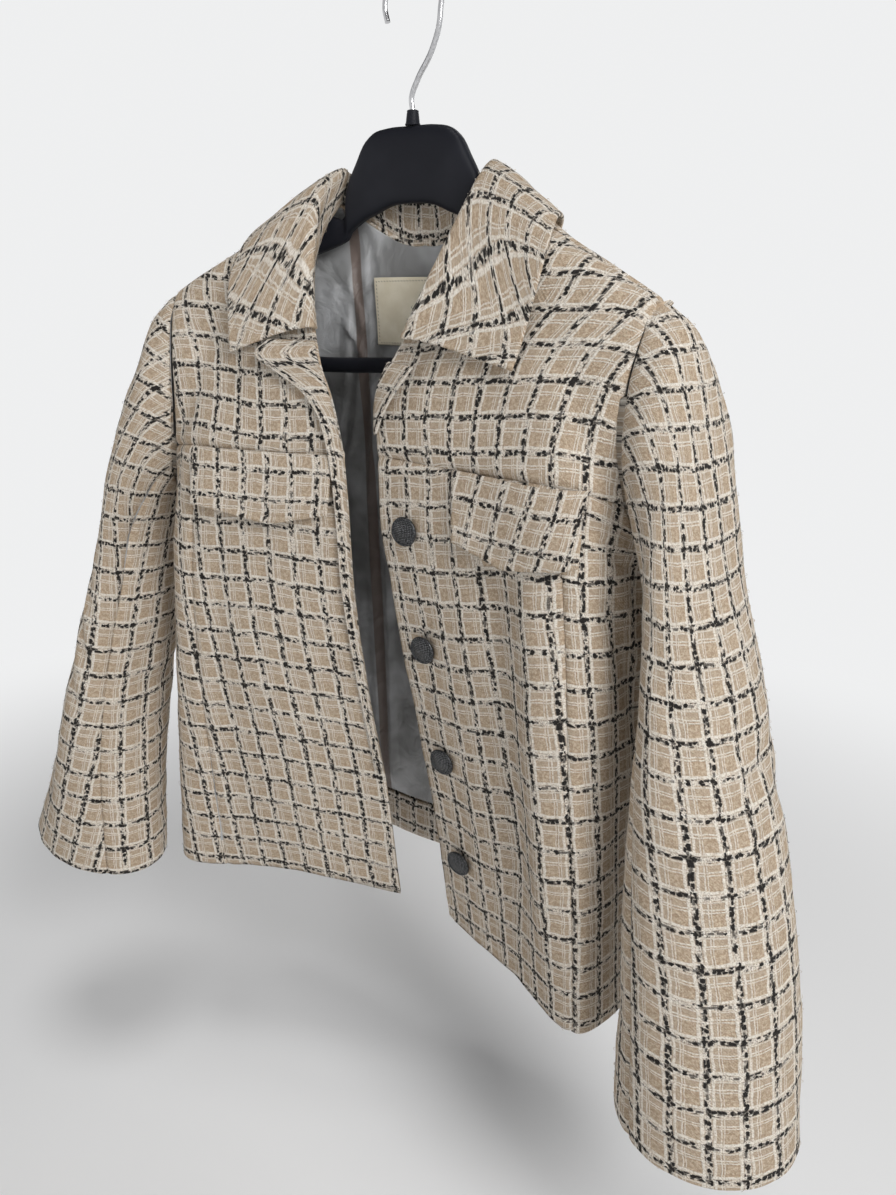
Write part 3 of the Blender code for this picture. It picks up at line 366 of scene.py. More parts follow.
# Steps of share and row that a button's facing is found over
BUTTON_STEPS = (0.02, 0.1)

# Lining, hem facing and label inside the back; the lining and the label reach above their solids
LINING_ROWS = (0.36, 10.86)
FACING_ROWS = (0.0, 0.34)
LABEL_SIZE = (0.066, 0.052)
LABEL_CENTRE = (-0.016, -0.045)
LABEL_STAND = 0.0022
LABEL_COARSE = (7, 5)
LABEL_FINE = (40, 50)
INSIDE_GAP = 0.0009
INSIDE_SHARES = (0.02, 0.98)
# Widths that the back and its inside are divided by, the share that their rows are measured at,
# and the place that their check starts from
BACK_WIDTH = 0.53
INSIDE_WIDTH = 0.51
BACK_REFERENCE = 0.35
BACK_START = (0.5, 0.0)
# How loose the lining is, the size of its patches, and how it lies flat at its edge and at the label
LINING_LOOSE = 0.0012
LINING_PATCH = (0.03, 0.05)
LINING_SEED = 5
LINING_EDGE = 0.02
LABEL_CLEAR = 0.003
LABEL_FADE = 0.012

# Hanger, bar, ferrule and hook, as in the solids
Arm = namedtuple("Arm", "x y top bottom half_depth")
HANGER = (
    Arm(0.000, 0.000, 0.0780, 0.0270, 0.0075),
    Arm(0.020, 0.000, 0.0778, 0.0252, 0.0075),
    Arm(0.032, 0.000, 0.0755, 0.0205, 0.0075),
    Arm(0.039, 0.000, 0.0705, 0.0180, 0.0075),
    Arm(0.047, 0.000, 0.0580, 0.0140, 0.0070),
    Arm(0.056, 0.000, 0.0420, 0.0080, 0.0060),
    Arm(0.063, 0.001, 0.0180, 0.0010, 0.0045),
    Arm(0.080, 0.000, 0.0215, -0.0050, 0.0060),
    Arm(0.110, -0.0135, 0.0105, -0.0170, 0.0065),
    Arm(0.150, -0.0265, -0.0094, -0.0310, 0.0070),
    Arm(0.178, -0.0325, -0.0243, -0.0425, 0.0065),
    Arm(0.194, -0.0350, -0.0340, -0.0495, 0.0050),
)
HANGER_SIDES = 40
HANGER_SECTIONS = 140
HANGER_SQUARE = 0.62
HANGER_SHARP = 60.0
BAR_ROUTE = ((0.165, -0.0280, -0.0393), (0.162, -0.0250, -0.066), (0.150, -0.0180, -0.083),
             (0.120, -0.0090, -0.0890), (0.0, 0.0, -0.0890))
BAR_RADIUS = 0.006
BAR_POINTS = 120
FERRULE_PROFILE = (
    (0.0, 0.0783), (0.0055, 0.0783), (0.0056, 0.0790), (0.0050, 0.0800), (0.0047, 0.0830), (0.0043, 0.0862),
    (0.0041, 0.0868), (0.0043, 0.0873), (0.0041, 0.0879), (0.0034, 0.0882), (0.0, 0.0882),
)
FERRULE_SIDES = 40
WIRE_ROUND = 8
HOOK_WIRE = 0.0020
HOOK_RADIUS = 0.0232
HOOK_CENTRE_Z = 0.1548
HOOK_STEM = ((0.000, 0.0876), (-0.001, 0.0960), (0.004, 0.1070), (0.0150, 0.1230), (0.0215, 0.1400))
HOOK_SWEEP = (-15.0, 205.0)
HOOK_BENDS = 12
HOOK_POINTS = 160

# Fibres off the tweed: how many for each square metre, their heights, lengths, radius and three sides
FUZZ_DENSITY = 8000
FUZZ_TALL = (0.0004, 0.0014)
FUZZ_LONG = (0.0012, 0.0034)
FUZZ_RADIUS = 0.00014
FUZZ_TURNS = (0.0, 2.094, 4.189)
FUZZ_TAPER = (1.0, 1.0, 0.8, 0.3)
# Points along a fibre past its root, as shares of its height, length and sideways bend
FUZZ_SPINE = ((1.0, 0.35, 0.0), (0.9, 0.8, 1.0), (0.2, 1.0, 1.6))
FUZZ_ROOT = 0.0003
FUZZ_BEND = 0.6
FUZZ_SEED = 11
NAPPED = []

# Floor and light
FLOOR_Z = -0.966
FLOOR_Y = -0.05
FLOOR_RADIUS = 6.0
FLOOR_SIDES = 96
FLOOR_FADE = (0.45, 1.4)
PALE = (0.86, 0.865, 0.87)


def spline(knots, points, at):
    """Points at the places `at` on a smooth curve through `points`, one knot value for each."""
    knots, points = np.asarray(knots, float), np.asarray(points, float)
    at = np.atleast_1d(np.asarray(at, float))
    steps = np.diff(knots)[:, None]
    slopes = np.diff(points, axis=0) / steps
    inner = (slopes[:-1] * steps[1:] + slopes[1:] * steps[:-1]) / (steps[:-1] + steps[1:])
    tangents = np.vstack([slopes[:1], inner, slopes[-1:]])
    cell = np.clip(np.searchsorted(knots, at, side="right") - 1, 0, len(steps) - 1)
    t = ((at - knots[cell]) / steps[cell, 0])[:, None]
    width = steps[cell]
    return (
        (1 + 2 * t) * (1 - t) ** 2 * points[cell]
        + t * (1 - t) ** 2 * width * tangents[cell]
        + t * t * (3 - 2 * t) * points[cell + 1]
        + t * t * (t - 1) * width * tangents[cell + 1]
    )


def arc(points, axis=0):
    """Length along a line or grid of points from its start."""
    lengths = np.linalg.norm(np.diff(np.asarray(points, float), axis=axis), axis=-1)
    start = np.zeros_like(np.take(lengths, [0], axis=axis))
    return np.concatenate([start, np.cumsum(lengths, axis=axis)], axis=axis)


def chord_knots(points):
    """Knot values from 0 to 1, spaced as the points are."""
    lengths = arc(points)
    return lengths / lengths[-1]


def curve(points, shares):
    """Points at the given shares of the length of a smooth curve."""
    return spline(chord_knots(points), points, shares)


def unit(vectors):
    """The vectors at length one."""
    vectors = np.asarray(vectors, float)
    return vectors / np.linalg.norm(vectors, axis=-1, keepdims=True)


def grid_normals(grid):
    """Unit normals of a grid from its neighbours along both ways."""
    return unit(np.cross(np.gradient(grid, axis=0), np.gradient(grid, axis=1)))


def ring_points(ring, degrees):
    """Points on the oval through a ring's four points: 0 outer, 90 front, 180 inner, -90 back."""
    outer, inner, front, back = (np.array(p) for p in ring)
    turn = np.radians(np.atleast_1d(degrees))[:, None]
    c, s = np.cos(turn), np.sin(turn)
    middle = (outer + inner) / 2
    return middle + (outer - inner) / 2 * c + ((front + back) / 2 - middle) * s * s + (front - back) / 2 * s


def body_line(field, lift_field, lift_index):
    """The points of one body column at all sections."""
    line = []
    for body in BODY:
        place = getattr(body, field)
        x, y = place if isinstance(place, tuple) else (0.0, place)
        line.append((x, y, body.z + getattr(body, lift_field)[lift_index]))
    return np.array(line)


LEVEL_KNOTS = chord_knots(body_line("middle", "lift", 1))


def body_column(field, lift_field, lift_index, rows):
    """A body column at rows, which may lie between two sections."""
    at = np.interp(rows, range(len(BODY)), LEVEL_KNOTS)
    return spline(LEVEL_KNOTS, body_line(field, lift_field, lift_index), at)


def armhole_angle(rows):
    """The angle round the armhole at rows."""
    return np.interp(rows, range(UNDERARM_ROW, TOP_ROW + 1), ARMHOLE_ANGLES)


def outer_edge(side, rows, front):
    """The side seam up to the underarm, then the armhole's front or back half."""
    armhole = SLEEVES[side][0]
    seam = [(x, y, BODY[i].z) for i, (x, y) in enumerate(SIDE)] + [armhole.inner]
    knots = LEVEL_KNOTS[: UNDERARM_ROW + 1]
    low = spline(knots, seam, np.interp(rows, range(UNDERARM_ROW + 1), knots))
    high = ring_points(armhole, armhole_angle(rows) * (1.0 if front else -1.0))
    return np.where((np.asarray(rows) <= UNDERARM_ROW)[:, None], low, high)


def fold_heights(folds, shares, rows):
    """How far the soft folds move the places of a grid out, or in where it is negative."""
    share, row = np.meshgrid(shares, rows)
    total = np.zeros(share.shape)
    for fold in folds:
        (s0, r0), (s1, r1) = fold.start, fold.end
        along = np.clip((row - r0) / (r1 - r0), 0.0, 1.0)
        beyond = np.maximum(0.0, np.maximum(r0 - row, row - r1))
        across = (share - s0 - (s1 - s0) * along) / fold.half_width
        total += fold.height * np.exp(-across**2 - FOLD_END * beyond**2) * (1.0 - FOLD_FADE * along)
    return total


def inward(points):
    """The way in through the cloth at points of the body."""
    points = np.asarray(points, float)
    x, z = points[..., 0], points[..., 2]
    high = np.interp(z, CORE_HEIGHTS, (0.0, 1.0))
    core_y = (1.0 - high) * CORE_Y + high * np.interp(np.abs(x), RIDGE_X, RIDGE_Y)
    return unit(np.stack([CORE_X * x, core_y, z - CORE_DROP], axis=-1) - points)


def front_grid(side, shares, rows):
    """A grid of the left front's outer face, or of the right front's mirrored to the left."""
    rows = np.asarray(rows, float)
    edge = body_column("left_edge" if side == "left" else "right_edge", "lift", 0, rows)
    middle = body_column("middle", "lift", 1, rows)
    bulge = body_column("bulge", "lift", 2, rows)
    if side == "right":
        amount = np.interp(rows, RIGHT_SHIFT_ROWS, (1.0, 0.0))[:, None]
        middle = middle + amount * RIGHT_MIDDLE_SHIFT
        bulge = bulge + amount * RIGHT_BULGE_SHIFT
    controls = np.stack([edge, middle, bulge, outer_edge(side, rows, True)], axis=1)
    grid = np.array([curve(four, shares) for four in controls])
    return grid - inward(grid) * fold_heights(FOLDS[side], shares, rows)[..., None]


def front_point(side, share, row):
    """One point of a front."""
    return front_grid(side, [share], [row])[0, 0]


def back_grid(shares, rows):
    """A grid of the back's outer face, share 0 at the wearer's right side and 1 at the left."""
    rows, shares = np.asarray(rows, float), np.asarray(shares, float)
    centre = body_column("centre", "back_lift", 0, rows)
    neck = body_column("neck", "back_lift", 1, rows)
    blade = body_column("blade", "back_lift", 2, rows)
    knots = (-NECK_SHARE, 0.0, NECK_SHARE, BLADE_SHARE, 1.0)
    half = 2.0 * shares - 1.0
    scoop = np.interp(rows, SCOOP_ROWS, (0.0, 1.0))
    along = np.minimum(np.abs(half) / NECK_SHARE, 1.0)
    edges = {side: outer_edge(side, rows, False) for side in ("left", "right")}
    grid = np.empty((len(rows), len(shares), 3))
    for i in range(len(rows)):
        for side, chosen in (("left", half > 0), ("right", half <= 0)):
            controls = [neck[i] * (-1, 1, 1), centre[i], neck[i], blade[i], edges[side][i]]
            points = spline(knots, controls, np.abs(half[chosen]))
            points[:, 0] *= np.where(half[chosen] < 0, -1.0, 1.0)
            grid[i, chosen] = points
        grid[i, :, 2] -= NECK_SCOOP * 4.0 * along * (1.0 - along) * scoop[i]
    return grid - inward(grid) * fold_heights(FOLDS["back"], shares, rows)[..., None]


def mirrored(grid):
    """The grid on the wearer's right side."""
    return grid * (-1.0, 1.0, 1.0)


def turn_of(side):
    """What turns a grid to its own side."""
    return mirrored if side == "right" else np.array


def edge_spaced(length, step=STEP):
    """Shares of a length at even steps, with closer ones at both ends for a rounded edge."""
    count = max(2, round((length - 2 * STEP) / step))
    even = np.linspace(STEP, length - STEP, count + 1)
    return np.concatenate([EDGE_STEPS, even, [length - e for e in EDGE_STEPS[::-1]]]) / length


def rows_spaced(line_of, low, high, step=STEP):
    """Rows at even steps of length along one column of a panel."""
    rows = np.linspace(low, high, 200)
    lengths = arc(line_of(rows))
    return np.interp(edge_spaced(lengths[-1], step) * lengths[-1], lengths, rows)


def value_noise(u, v, seed):
    """Smooth uneven values from -1 to 1 on a plane, the same on each run."""
    table = np.random.default_rng(seed).uniform(-1.0, 1.0, (64, 64))
    iu, iv = np.floor(u).astype(int), np.floor(v).astype(int)
    fu, fv = u - iu, v - iv
    fu, fv = fu * fu * (3 - 2 * fu), fv * fv * (3 - 2 * fv)
    iu, iv = iu % 63, iv % 63
    low = table[iv, iu] * (1 - fu) + table[iv, iu + 1] * fu
    high = table[iv + 1, iu] * (1 - fu) + table[iv + 1, iu + 1] * fu
    return low * (1 - fv) + high * fv


def crease_heights(name, across, up, width, height):
    """How far a piece's own creases move its places out, or in where it is negative."""
    total = np.zeros(np.broadcast(across, up).shape)
    for crease in CREASES.get(name, ()):
        start = np.array(crease.start) * (width, height)
        way = np.array(crease.end) * (width, height) - start
        length = np.linalg.norm(way)
        u, v = across * width - start[0], up * height - start[1]
        along = (u * way[0] + v * way[1]) / length**2
        off = (u * way[1] - v * way[0]) / length / crease.half_width
        beyond = np.maximum(0.0, np.abs(along - 0.5) - CREASE_CORE)
        total += crease.height * np.exp(-off * off - CREASE_END * beyond**2)
    return total


def border_distances(u_lengths, v_lengths):
    """Distances of a grid's points from its four borders: low row, high row, first and last column."""
    return (
        v_lengths, v_lengths[-1] - v_lengths, u_lengths, u_lengths[:, -1:] - u_lengths,
    )


def relief(name, grid, seams, hand, stitched=()):
    """The finer form of a piece as heights over its smooth grid: creases, seams and uneven hand."""
    u, v = arc(grid, axis=1), arc(grid, axis=0)
    width, height = u[:, -1].mean(), v[-1].mean()
    across, up = u / u[:, -1:], v / v[-1:]
    borders = dict(zip(("low", "high", "first", "last"), border_distances(u, v)))
    seed = sum(ord(letter) for letter in name)
    total = crease_heights(name, across, up, width, height)
    for k, (amount, wide, tall) in enumerate(HAND):
        total += amount * hand * value_noise(u / wide, v / tall, seed + k)
    for border in seams:
        total *= np.clip(borders[border] / SEAM_FADE, 0.0, 1.0)
    uneven = 1.0 + SEAM_UNEVEN * value_noise(u / SEAM_PATCH, v / SEAM_PATCH, seed + len(HAND))
    for border in seams:
        total -= SEAM_DIP * uneven * np.exp(-((borders[border] / SEAM_REACH) ** 2))
    for border in stitched:
        total -= STITCH_DEPTH * np.exp(-(((borders[border] - STITCH_IN) / STITCH_REACH) ** 2))
    edge = np.min([*borders.values()], axis=0)
    rounded = np.interp(edge, EDGE_STEPS, EDGE_CURVE)
    return total, rounded


def shell(name, outer, inner, uv, materials, lined=None):
    """A closed shell between two grids, with its cloth's own coordinates and its materials."""
    rows, columns = outer.shape[:2]
    count = rows * columns
    index = np.arange(count).reshape(rows, columns)
    a, b, c, d = index[:-1, :-1], index[:-1, 1:], index[1:, 1:], index[1:, :-1]
    front = np.stack([a, b, c, d], axis=-1).reshape(-1, 4)
    rim = np.concatenate([index[0, :-1], index[:-1, -1], index[-1, :0:-1], index[:0:-1, 0]])
    after = np.roll(rim, -1)
    sides = np.stack([after, rim, rim + count, after + count], axis=1)
    faces = np.concatenate([front, front[:, ::-1] + count, sides])
    points = np.concatenate([outer.reshape(-1, 3), inner.reshape(-1, 3)])
    corner, across, up = (points[front[:, k]] for k in (0, 1, 3))
    ways = np.cross(across - corner, up - corner)
    if np.sum(ways * (corner - points[front[:, 0] + count])) < 0:
        faces = faces[:, ::-1]
    mesh = mesh_from(name, points, faces, np.tile(uv.reshape(-1, 2), (2, 1)), materials)
    if lined is not None:
        slots = np.zeros(len(faces), np.int32)
        slots[len(front): 2 * len(front)] = lined.ravel()
        mesh.polygons.foreach_set("material_index", slots)
    return place_object(f"{name}_cloth", mesh)


def mesh_from(name, points, faces, uv, materials):
    """A smooth mesh of four-sided faces, with a cloth coordinate for each point."""
    mesh = bpy.data.meshes.new(name)
    mesh.vertices.add(len(points))
    mesh.vertices.foreach_set("co", (points + DATUM).ravel())
    mesh.loops.add(faces.size)
    mesh.loops.foreach_set("vertex_index", faces.ravel().astype(np.int32))
    mesh.polygons.add(len(faces))
    mesh.polygons.foreach_set("loop_start", np.arange(0, faces.size, 4, dtype=np.int32))
    layer = mesh.uv_layers.new(name="cloth")
    layer.data.foreach_set("uv", uv[faces.ravel()].ravel())
    for made in materials:
        mesh.materials.append(made)
    mesh.update(calc_edges=True)
    mesh.shade_smooth()
    return mesh


def place_object(name, data):
    """A new piece in the scene, riding on the one body."""
    piece = bpy.data.objects.new(name, data)
    bpy.context.scene.collection.objects.link(piece)
    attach(piece, "root")
    return piece


def cell_spans(grid):
    """Twice the area of each cell of a grid."""
    return np.linalg.norm(np.cross(grid[1:, 1:] - grid[:-1, :-1], grid[1:, :-1] - grid[:-1, 1:]), axis=-1)


def declare(node, grid):
    """Hides the solid that a cloth piece stands for, and works out the flat size that it was cut to."""
    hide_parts(node)
    u, v = arc(grid, axis=1), arc(grid, axis=0)
    width, length = float(u[:, -1].max()), float(v[-1].max())
    area = float(cell_spans(grid).sum() / 2)
    area = min(max(area, SHEET_LEAST * width * length), width * length)


def cloth(name, grid, thickness, uv, materials, seams, hand, ways=None, stitched=(), depth=0.0, lined=None):
    """A cloth piece: its smooth grid with relief, and an inner face a thickness further in."""
    heights, rounded = relief(name, grid, seams, hand, stitched)
    normals = grid_normals(grid)
    ways = inward(grid) if ways is None else ways
    normals *= -np.sign(np.sum(normals * ways, axis=-1, keepdims=True))
    middle = grid + ways * depth + normals * heights[..., None]
    soft = (EDGE_ROUND * min(1.0, thickness / TWEED) * rounded)[..., None]
    outer = middle - normals * soft
    inner = middle + ways * thickness + normals * soft
    if thickness >= TWEED:
        NAPPED.append((outer, normals, uv))
    return shell(name, outer, inner, uv, materials, lined)


def fibre_roots(rng):
    """Roots of the fibres at random on the tweed, with the ways out and the cloth's places there."""
    roots, ways, places = [], [], []
    for grid, normals, uv in NAPPED:
        cells = cell_spans(grid) / 2
        count = int(cells.sum() * FUZZ_DENSITY)
        chosen = rng.choice(cells.size, count, p=(cells / cells.sum()).ravel())
        i, j = np.unravel_index(chosen, cells.shape)
        a, b = rng.random((2, count, 1))
        for kept, source in ((roots, grid), (ways, normals), (places, uv)):
            low = source[i, j] * (1 - a) + source[i, j + 1] * a
            kept.append(low * (1 - b) + (source[i + 1, j] * (1 - a) + source[i + 1, j + 1] * a) * b)
    return np.concatenate(roots), unit(np.concatenate(ways)), np.concatenate(places)


def make_fuzz(tweed):
    """Short curled fibres that stand off the tweed, as one joined mesh."""
    rng = np.random.default_rng(FUZZ_SEED)
    roots, ways, places = fibre_roots(rng)
    count = len(roots)
    lean = unit(np.cross(ways, rng.normal(size=(count, 3))))
    tall = rng.uniform(*FUZZ_TALL, (count, 1))
    long = rng.uniform(*FUZZ_LONG, (count, 1))
    side = np.cross(ways, lean)
    bend = rng.uniform(-FUZZ_BEND, FUZZ_BEND, (count, 1))
    spine = [roots - ways * FUZZ_ROOT]
    for up, along, aside in FUZZ_SPINE:
        spine.append(roots + ways * tall * up + lean * long * along + side * long * bend * aside)
    rings = []
    for centre, radius in zip(spine, FUZZ_TAPER):
        for turn in FUZZ_TURNS:
            off = side * math.cos(turn) + ways * math.sin(turn)
            rings.append(centre + FUZZ_RADIUS * radius * off)
    points = np.stack(rings, axis=1)
    sides = len(FUZZ_TURNS)
    quads = []
    for low in range(0, sides * len(FUZZ_SPINE), sides):
        for k in range(sides):
            after = (k + 1) % sides
            quads.append((low + k, low + after, low + sides + after, low + sides + k))
    faces = (np.array(quads)[None] + len(rings) * np.arange(count)[:, None, None]).reshape(-1, 4)
    uv = np.repeat(places, len(rings), axis=0)
    mesh = mesh_from("tweed_fuzz", points.reshape(-1, 3), faces, uv, [tweed])
    place_object("tweed_fuzz", mesh)


def flat_arc(grid, axis):
    """Length across a grid without its rise, or up a grid without its sideways lean."""
    return arc(grid[..., :2] if axis == 1 else grid[..., 1:], axis=axis)


def panel_uv(grid_of, shares, rows, start, offset):
    """Cloth coordinates of a panel: lengths along its rows and columns from a (share, row)."""
    every = np.unique(np.concatenate([np.linspace(start[0], shares[0], 12), shares]))
    across = flat_arc(grid_of(every, rows), axis=1)
    u = across[:, np.searchsorted(every, shares)] - across[:, [np.searchsorted(every, start[0])]]
    every = np.unique(np.concatenate([np.linspace(start[1], rows[0], 24), rows]))
    up = flat_arc(grid_of(shares, every), axis=0)
    v = up[np.searchsorted(every, rows)] - up[[np.searchsorted(every, start[1])]]
    return np.stack([u + offset[0], v + offset[1]], axis=-1)


# Where each piece's check begins, as (across, up) in metres
CHECK_STARTS = {
    "left_front": (0.0010, 0.004), "right_front": (0.0060, 0.010), "back": (0.003, 0.004),
    "left_sleeve": (0.004, 0.006), "right_sleeve": (0.002, 0.010), "collar": (0.004, 0.009),
    "left_flap": (0.0080, 0.007), "right_flap": (0.0010, 0.004), "back_hem_facing": (0.0, 0.0),
}
# Where a turned-back strip's check begins along it
STRIP_STARTS = {"left": 0.002, "right": 0.006}
YOKE_REFERENCE = 0.4
# How far a front's check rows drop for each metre from its edge, up to the upright seam and past it
RowLean = namedtuple("RowLean", "seam before past")
ROW_LEANS = {
    "left_front_yoke": RowLean(0.160, 0.10, 0.10), "left_front_centre": RowLean(0.160, 0.16, 0.16),
    "left_front_side": RowLean(0.160, 0.16, -0.05), "right_front_yoke": RowLean(0.150, 0.05, 0.05),
    "right_front_centre": RowLean(0.150, 0.03, 0.03), "right_front_side": RowLean(0.150, 0.03, 0.03),
}
# How far a flap's check columns lean for each metre down, and where a strip's black band lies off its edge
FLAP_LEANS = {"left": 0.24, "right": 0.02}
STRIP_BAND = 0.0040
# How much wider the check looks across a sleeve
SLEEVE_EASE = 1.10
FACING_WIDTH = 0.075
HEM_WIDTH = 0.035


def make_front(side, tweed, lining):
    """One front: yoke, centre panel and side panel."""
    seam = UPRIGHT_SEAM[side]
    turn = turn_of(side)

    def grid_of(shares, rows):
        return front_grid(side, shares, rows)

    panels = (
        ("yoke", 0.0, 1.0, YOKE_ROW, TOP_ROW, ("low", "high", "last")),
        ("centre", 0.0, seam, 0, YOKE_ROW, ("high", "last")),
        ("side", seam, 1.0, 0, YOKE_ROW, ("high", "first", "last")),
    )
    for part, first, last, low, high, seams in panels:
        name = f"{side}_front_{part}"
        middle = (first + last) / 2
        rows = rows_spaced(lambda r: grid_of([middle], r)[:, 0], low, high)
        row_length = arc(grid_of(np.linspace(first, last, 40), [rows[len(rows) // 2]])[0])[-1]
        shares = first + (last - first) * edge_spaced(row_length)
        grid = grid_of(shares, rows)
        begin = np.array(CHECK_STARTS[f"{side}_front"])
        start = (0.0, 0.0)
        if part == "yoke":
            start = (YOKE_REFERENCE, YOKE_ROW)
            begin += arc(grid_of(np.linspace(0.0, YOKE_REFERENCE, 30), [YOKE_ROW])[0])[-1], 0.0
            begin += 0.0, arc(grid_of([YOKE_REFERENCE], np.linspace(0.0, YOKE_ROW, 60))[:, 0])[-1]
        uv = panel_uv(grid_of, shares, rows, start, begin)
        faced = (uv[:-1, :-1, 0] < FACING_WIDTH) | (uv[:-1, :-1, 1] < HEM_WIDTH)
        lean = ROW_LEANS[name]
        uv[..., 1] -= lean.before * np.minimum(uv[..., 0], lean.seam)
        uv[..., 1] -= lean.past * np.maximum(uv[..., 0] - lean.seam, 0.0)
        piece = cloth(name, turn(grid), TWEED, uv, [tweed, lining], seams, HAND_HEIGHTS["front"],
                      turn(inward(grid)), lined=~faced)
        declare(name, grid)


def back_rows(low, high):
    """Rows of the back at even steps of length, from one row to another."""
    return rows_spaced(lambda r: back_grid([BACK_REFERENCE], r)[:, 0], low, high)


def make_back(tweed, lining):
    """The back panel, with its hem facing and lining inside."""
    rows, shares = back_rows(0, TOP_ROW), edge_spaced(BACK_WIDTH)
    grid = back_grid(shares, rows)
    uv = panel_uv(back_grid, shares, rows, BACK_START, CHECK_STARTS["back"])
    piece = cloth("back", grid, TWEED, uv, [tweed], ("high", "first", "last"), HAND_HEIGHTS["back"])
    declare("back", grid)
    depth = TWEED + INSIDE_GAP
    rows = back_rows(*FACING_ROWS)
    shares = INSIDE_SHARES[0] + (INSIDE_SHARES[1] - INSIDE_SHARES[0]) * edge_spaced(INSIDE_WIDTH)
    grid = back_grid(shares, rows)
    uv = panel_uv(back_grid, shares, rows, BACK_START, CHECK_STARTS["back_hem_facing"])
    piece = cloth("back_hem_facing", grid, TWEED, uv, [tweed], (), 0.0, depth=depth)
    declare("back_hem_facing", grid)
    rows = back_rows(*LINING_ROWS)
    grid = back_grid(shares, rows)
    uv = panel_uv(back_grid, shares, rows, BACK_START, (0.0, 0.0))
    piece = lining_shell(grid, depth, uv, lining)
    declare("back_lining", grid)


def lining_shell(grid, depth, uv, lining):
    """The back lining, whose creases all stand off the back into the hollow."""
    heights, _ = relief("back_lining", grid, (), 0.0)
    u, v = arc(grid, axis=1), arc(grid, axis=0)
    edge = np.min(border_distances(u, v), axis=0)
    patches = value_noise(u / LINING_PATCH[0], v / LINING_PATCH[1], LINING_SEED)
    loose = LINING_LOOSE * (1.0 + patches) + np.abs(heights)
    (width, height), (x, z) = LABEL_SIZE, LABEL_CENTRE
    beside = np.maximum(np.abs(grid[..., 0] - x) - width / 2, np.abs(grid[..., 2] - z) - height / 2)
    flat = np.clip((beside - LABEL_CLEAR) / LABEL_FADE, 0.0, 1.0)
    loose *= np.clip(edge / LINING_EDGE, 0.0, 1.0) * flat
    ways = inward(grid)
    outer = grid + ways * (depth + loose)[..., None]
    return shell("back_lining", outer, outer + ways * LINING, uv, [lining])


def back_at(x, height):
    """The back's point at an x and a height near its centre."""
    rows = np.linspace(YOKE_ROW, TOP_ROW, 31)
    shares = np.linspace(0.3, 0.7, 31)
    share = 0.5
    for _ in range(3):
        row = np.interp(height, back_grid([share], rows)[:, 0, 2], rows)
        share = np.interp(x, back_grid(shares, [row])[0, :, 0], shares)
    return back_grid([share], [row])[0, 0]


def upsampled(grid, rows, columns):
    """A finer grid on the smooth surface through a coarse one."""
    shares = np.linspace(0.0, 1.0, columns)
    wide = np.array([spline(np.linspace(0, 1, grid.shape[1]), line, shares) for line in grid])
    shares = np.linspace(0.0, 1.0, rows)
    return np.stack(
        [spline(np.linspace(0, 1, len(wide)), wide[:, k], shares) for k in range(columns)], axis=1
    )


def make_label(woven):
    """The bare woven label, on the lining below the back neck."""
    (width, height), (x, z) = LABEL_SIZE, LABEL_CENTRE
    across = np.linspace(x - width / 2, x + width / 2, LABEL_COARSE[0])
    up = np.linspace(z - height / 2, z + height / 2, LABEL_COARSE[1])
    grid = upsampled(np.array([[back_at(a, b) for a in across] for b in up]), *LABEL_FINE)
    uv = np.stack([arc(grid, axis=1), arc(grid, axis=0)], axis=-1)
    depth = TWEED + LINING + 2 * INSIDE_GAP + LABEL_STAND
    piece = cloth("label", grid, LABEL, uv, [woven], (), HAND_HEIGHTS["label"], depth=depth)
    declare("label", grid)


def make_sleeve(side, tweed, lining):
    """One sleeve: the upper and the under sleeve."""
    turn = turn_of(side)
    table = SLEEVES[side]
    knots = chord_knots([r.outer for r in table])
    lengths = arc([r.outer for r in table])[-1]
    places = edge_spaced(lengths)[::-1]
    lines = [spline(knots, [getattr(r, field) for r in table], 1.0 - places) for field in Ring._fields]
    rings = [Ring(*points) for points in zip(*lines)][::-1]
    front_seam, back_seam = armhole_angle(FRONT_SEAM_ROW), armhole_angle(BACK_SEAM_ROW)
    parts = {"upper": (-back_seam, front_seam), "under": (front_seam, 360.0 - back_seam)}
    centres = np.array([np.mean(ring, axis=0) for ring in rings])[:, None]
    begin = 0.0
    for part, (first, last) in parts.items():
        widest = ring_points(rings[len(rings) // 2], np.linspace(first, last, 60))
        angles = first + (last - first) * edge_spaced(arc(widest)[-1])
        grid = np.array([ring_points(ring, angles) for ring in rings])
        grid[-1, :, 0] += SLEEVE_GAP
        start = CHECK_STARTS[f"{side}_sleeve"]
        u, v = arc(grid, axis=1), arc(grid, axis=0)
        middle = u[:, u.shape[1] // 2][:, None]
        across = (u - middle) / SLEEVE_EASE + middle.mean() + begin + start[0]
        uv = np.stack([across, v + start[1]], axis=-1)
        begin += u[:, -1].mean()
        name = f"{side}_sleeve_{part}"
        faced = v[:-1, :-1] < HEM_WIDTH
        piece = cloth(name, turn(grid), TWEED, uv, [tweed, lining], ("high", "first", "last"),
                      HAND_HEIGHTS["sleeve"], turn(unit(centres - grid)), lined=~faced)
        declare(name, grid)


DENSE = {}


def dense_front(side):
    """A front's heights and row lengths on a dense grid, worked out once."""
    if side not in DENSE:
        shares, rows = np.linspace(0.0, 1.0, 121), np.linspace(0.0, CORNER_ROW + 1, 181)
        grid = front_grid(side, shares, rows)
        DENSE[side] = shares, rows, grid[..., 2], arc(grid, axis=1)[:, -1]
    return DENSE[side]


def front_row_at(side, share, height):
    """The row where a share of a front has a height."""
    shares, rows, heights, _ = dense_front(side)
    place = np.clip(share, 0.0, 1.0) * (len(shares) - 1)
    low = min(int(place), len(shares) - 2)
    line = heights[:, low] + (heights[:, low + 1] - heights[:, low]) * (place - low)
    return np.interp(height, line, rows)


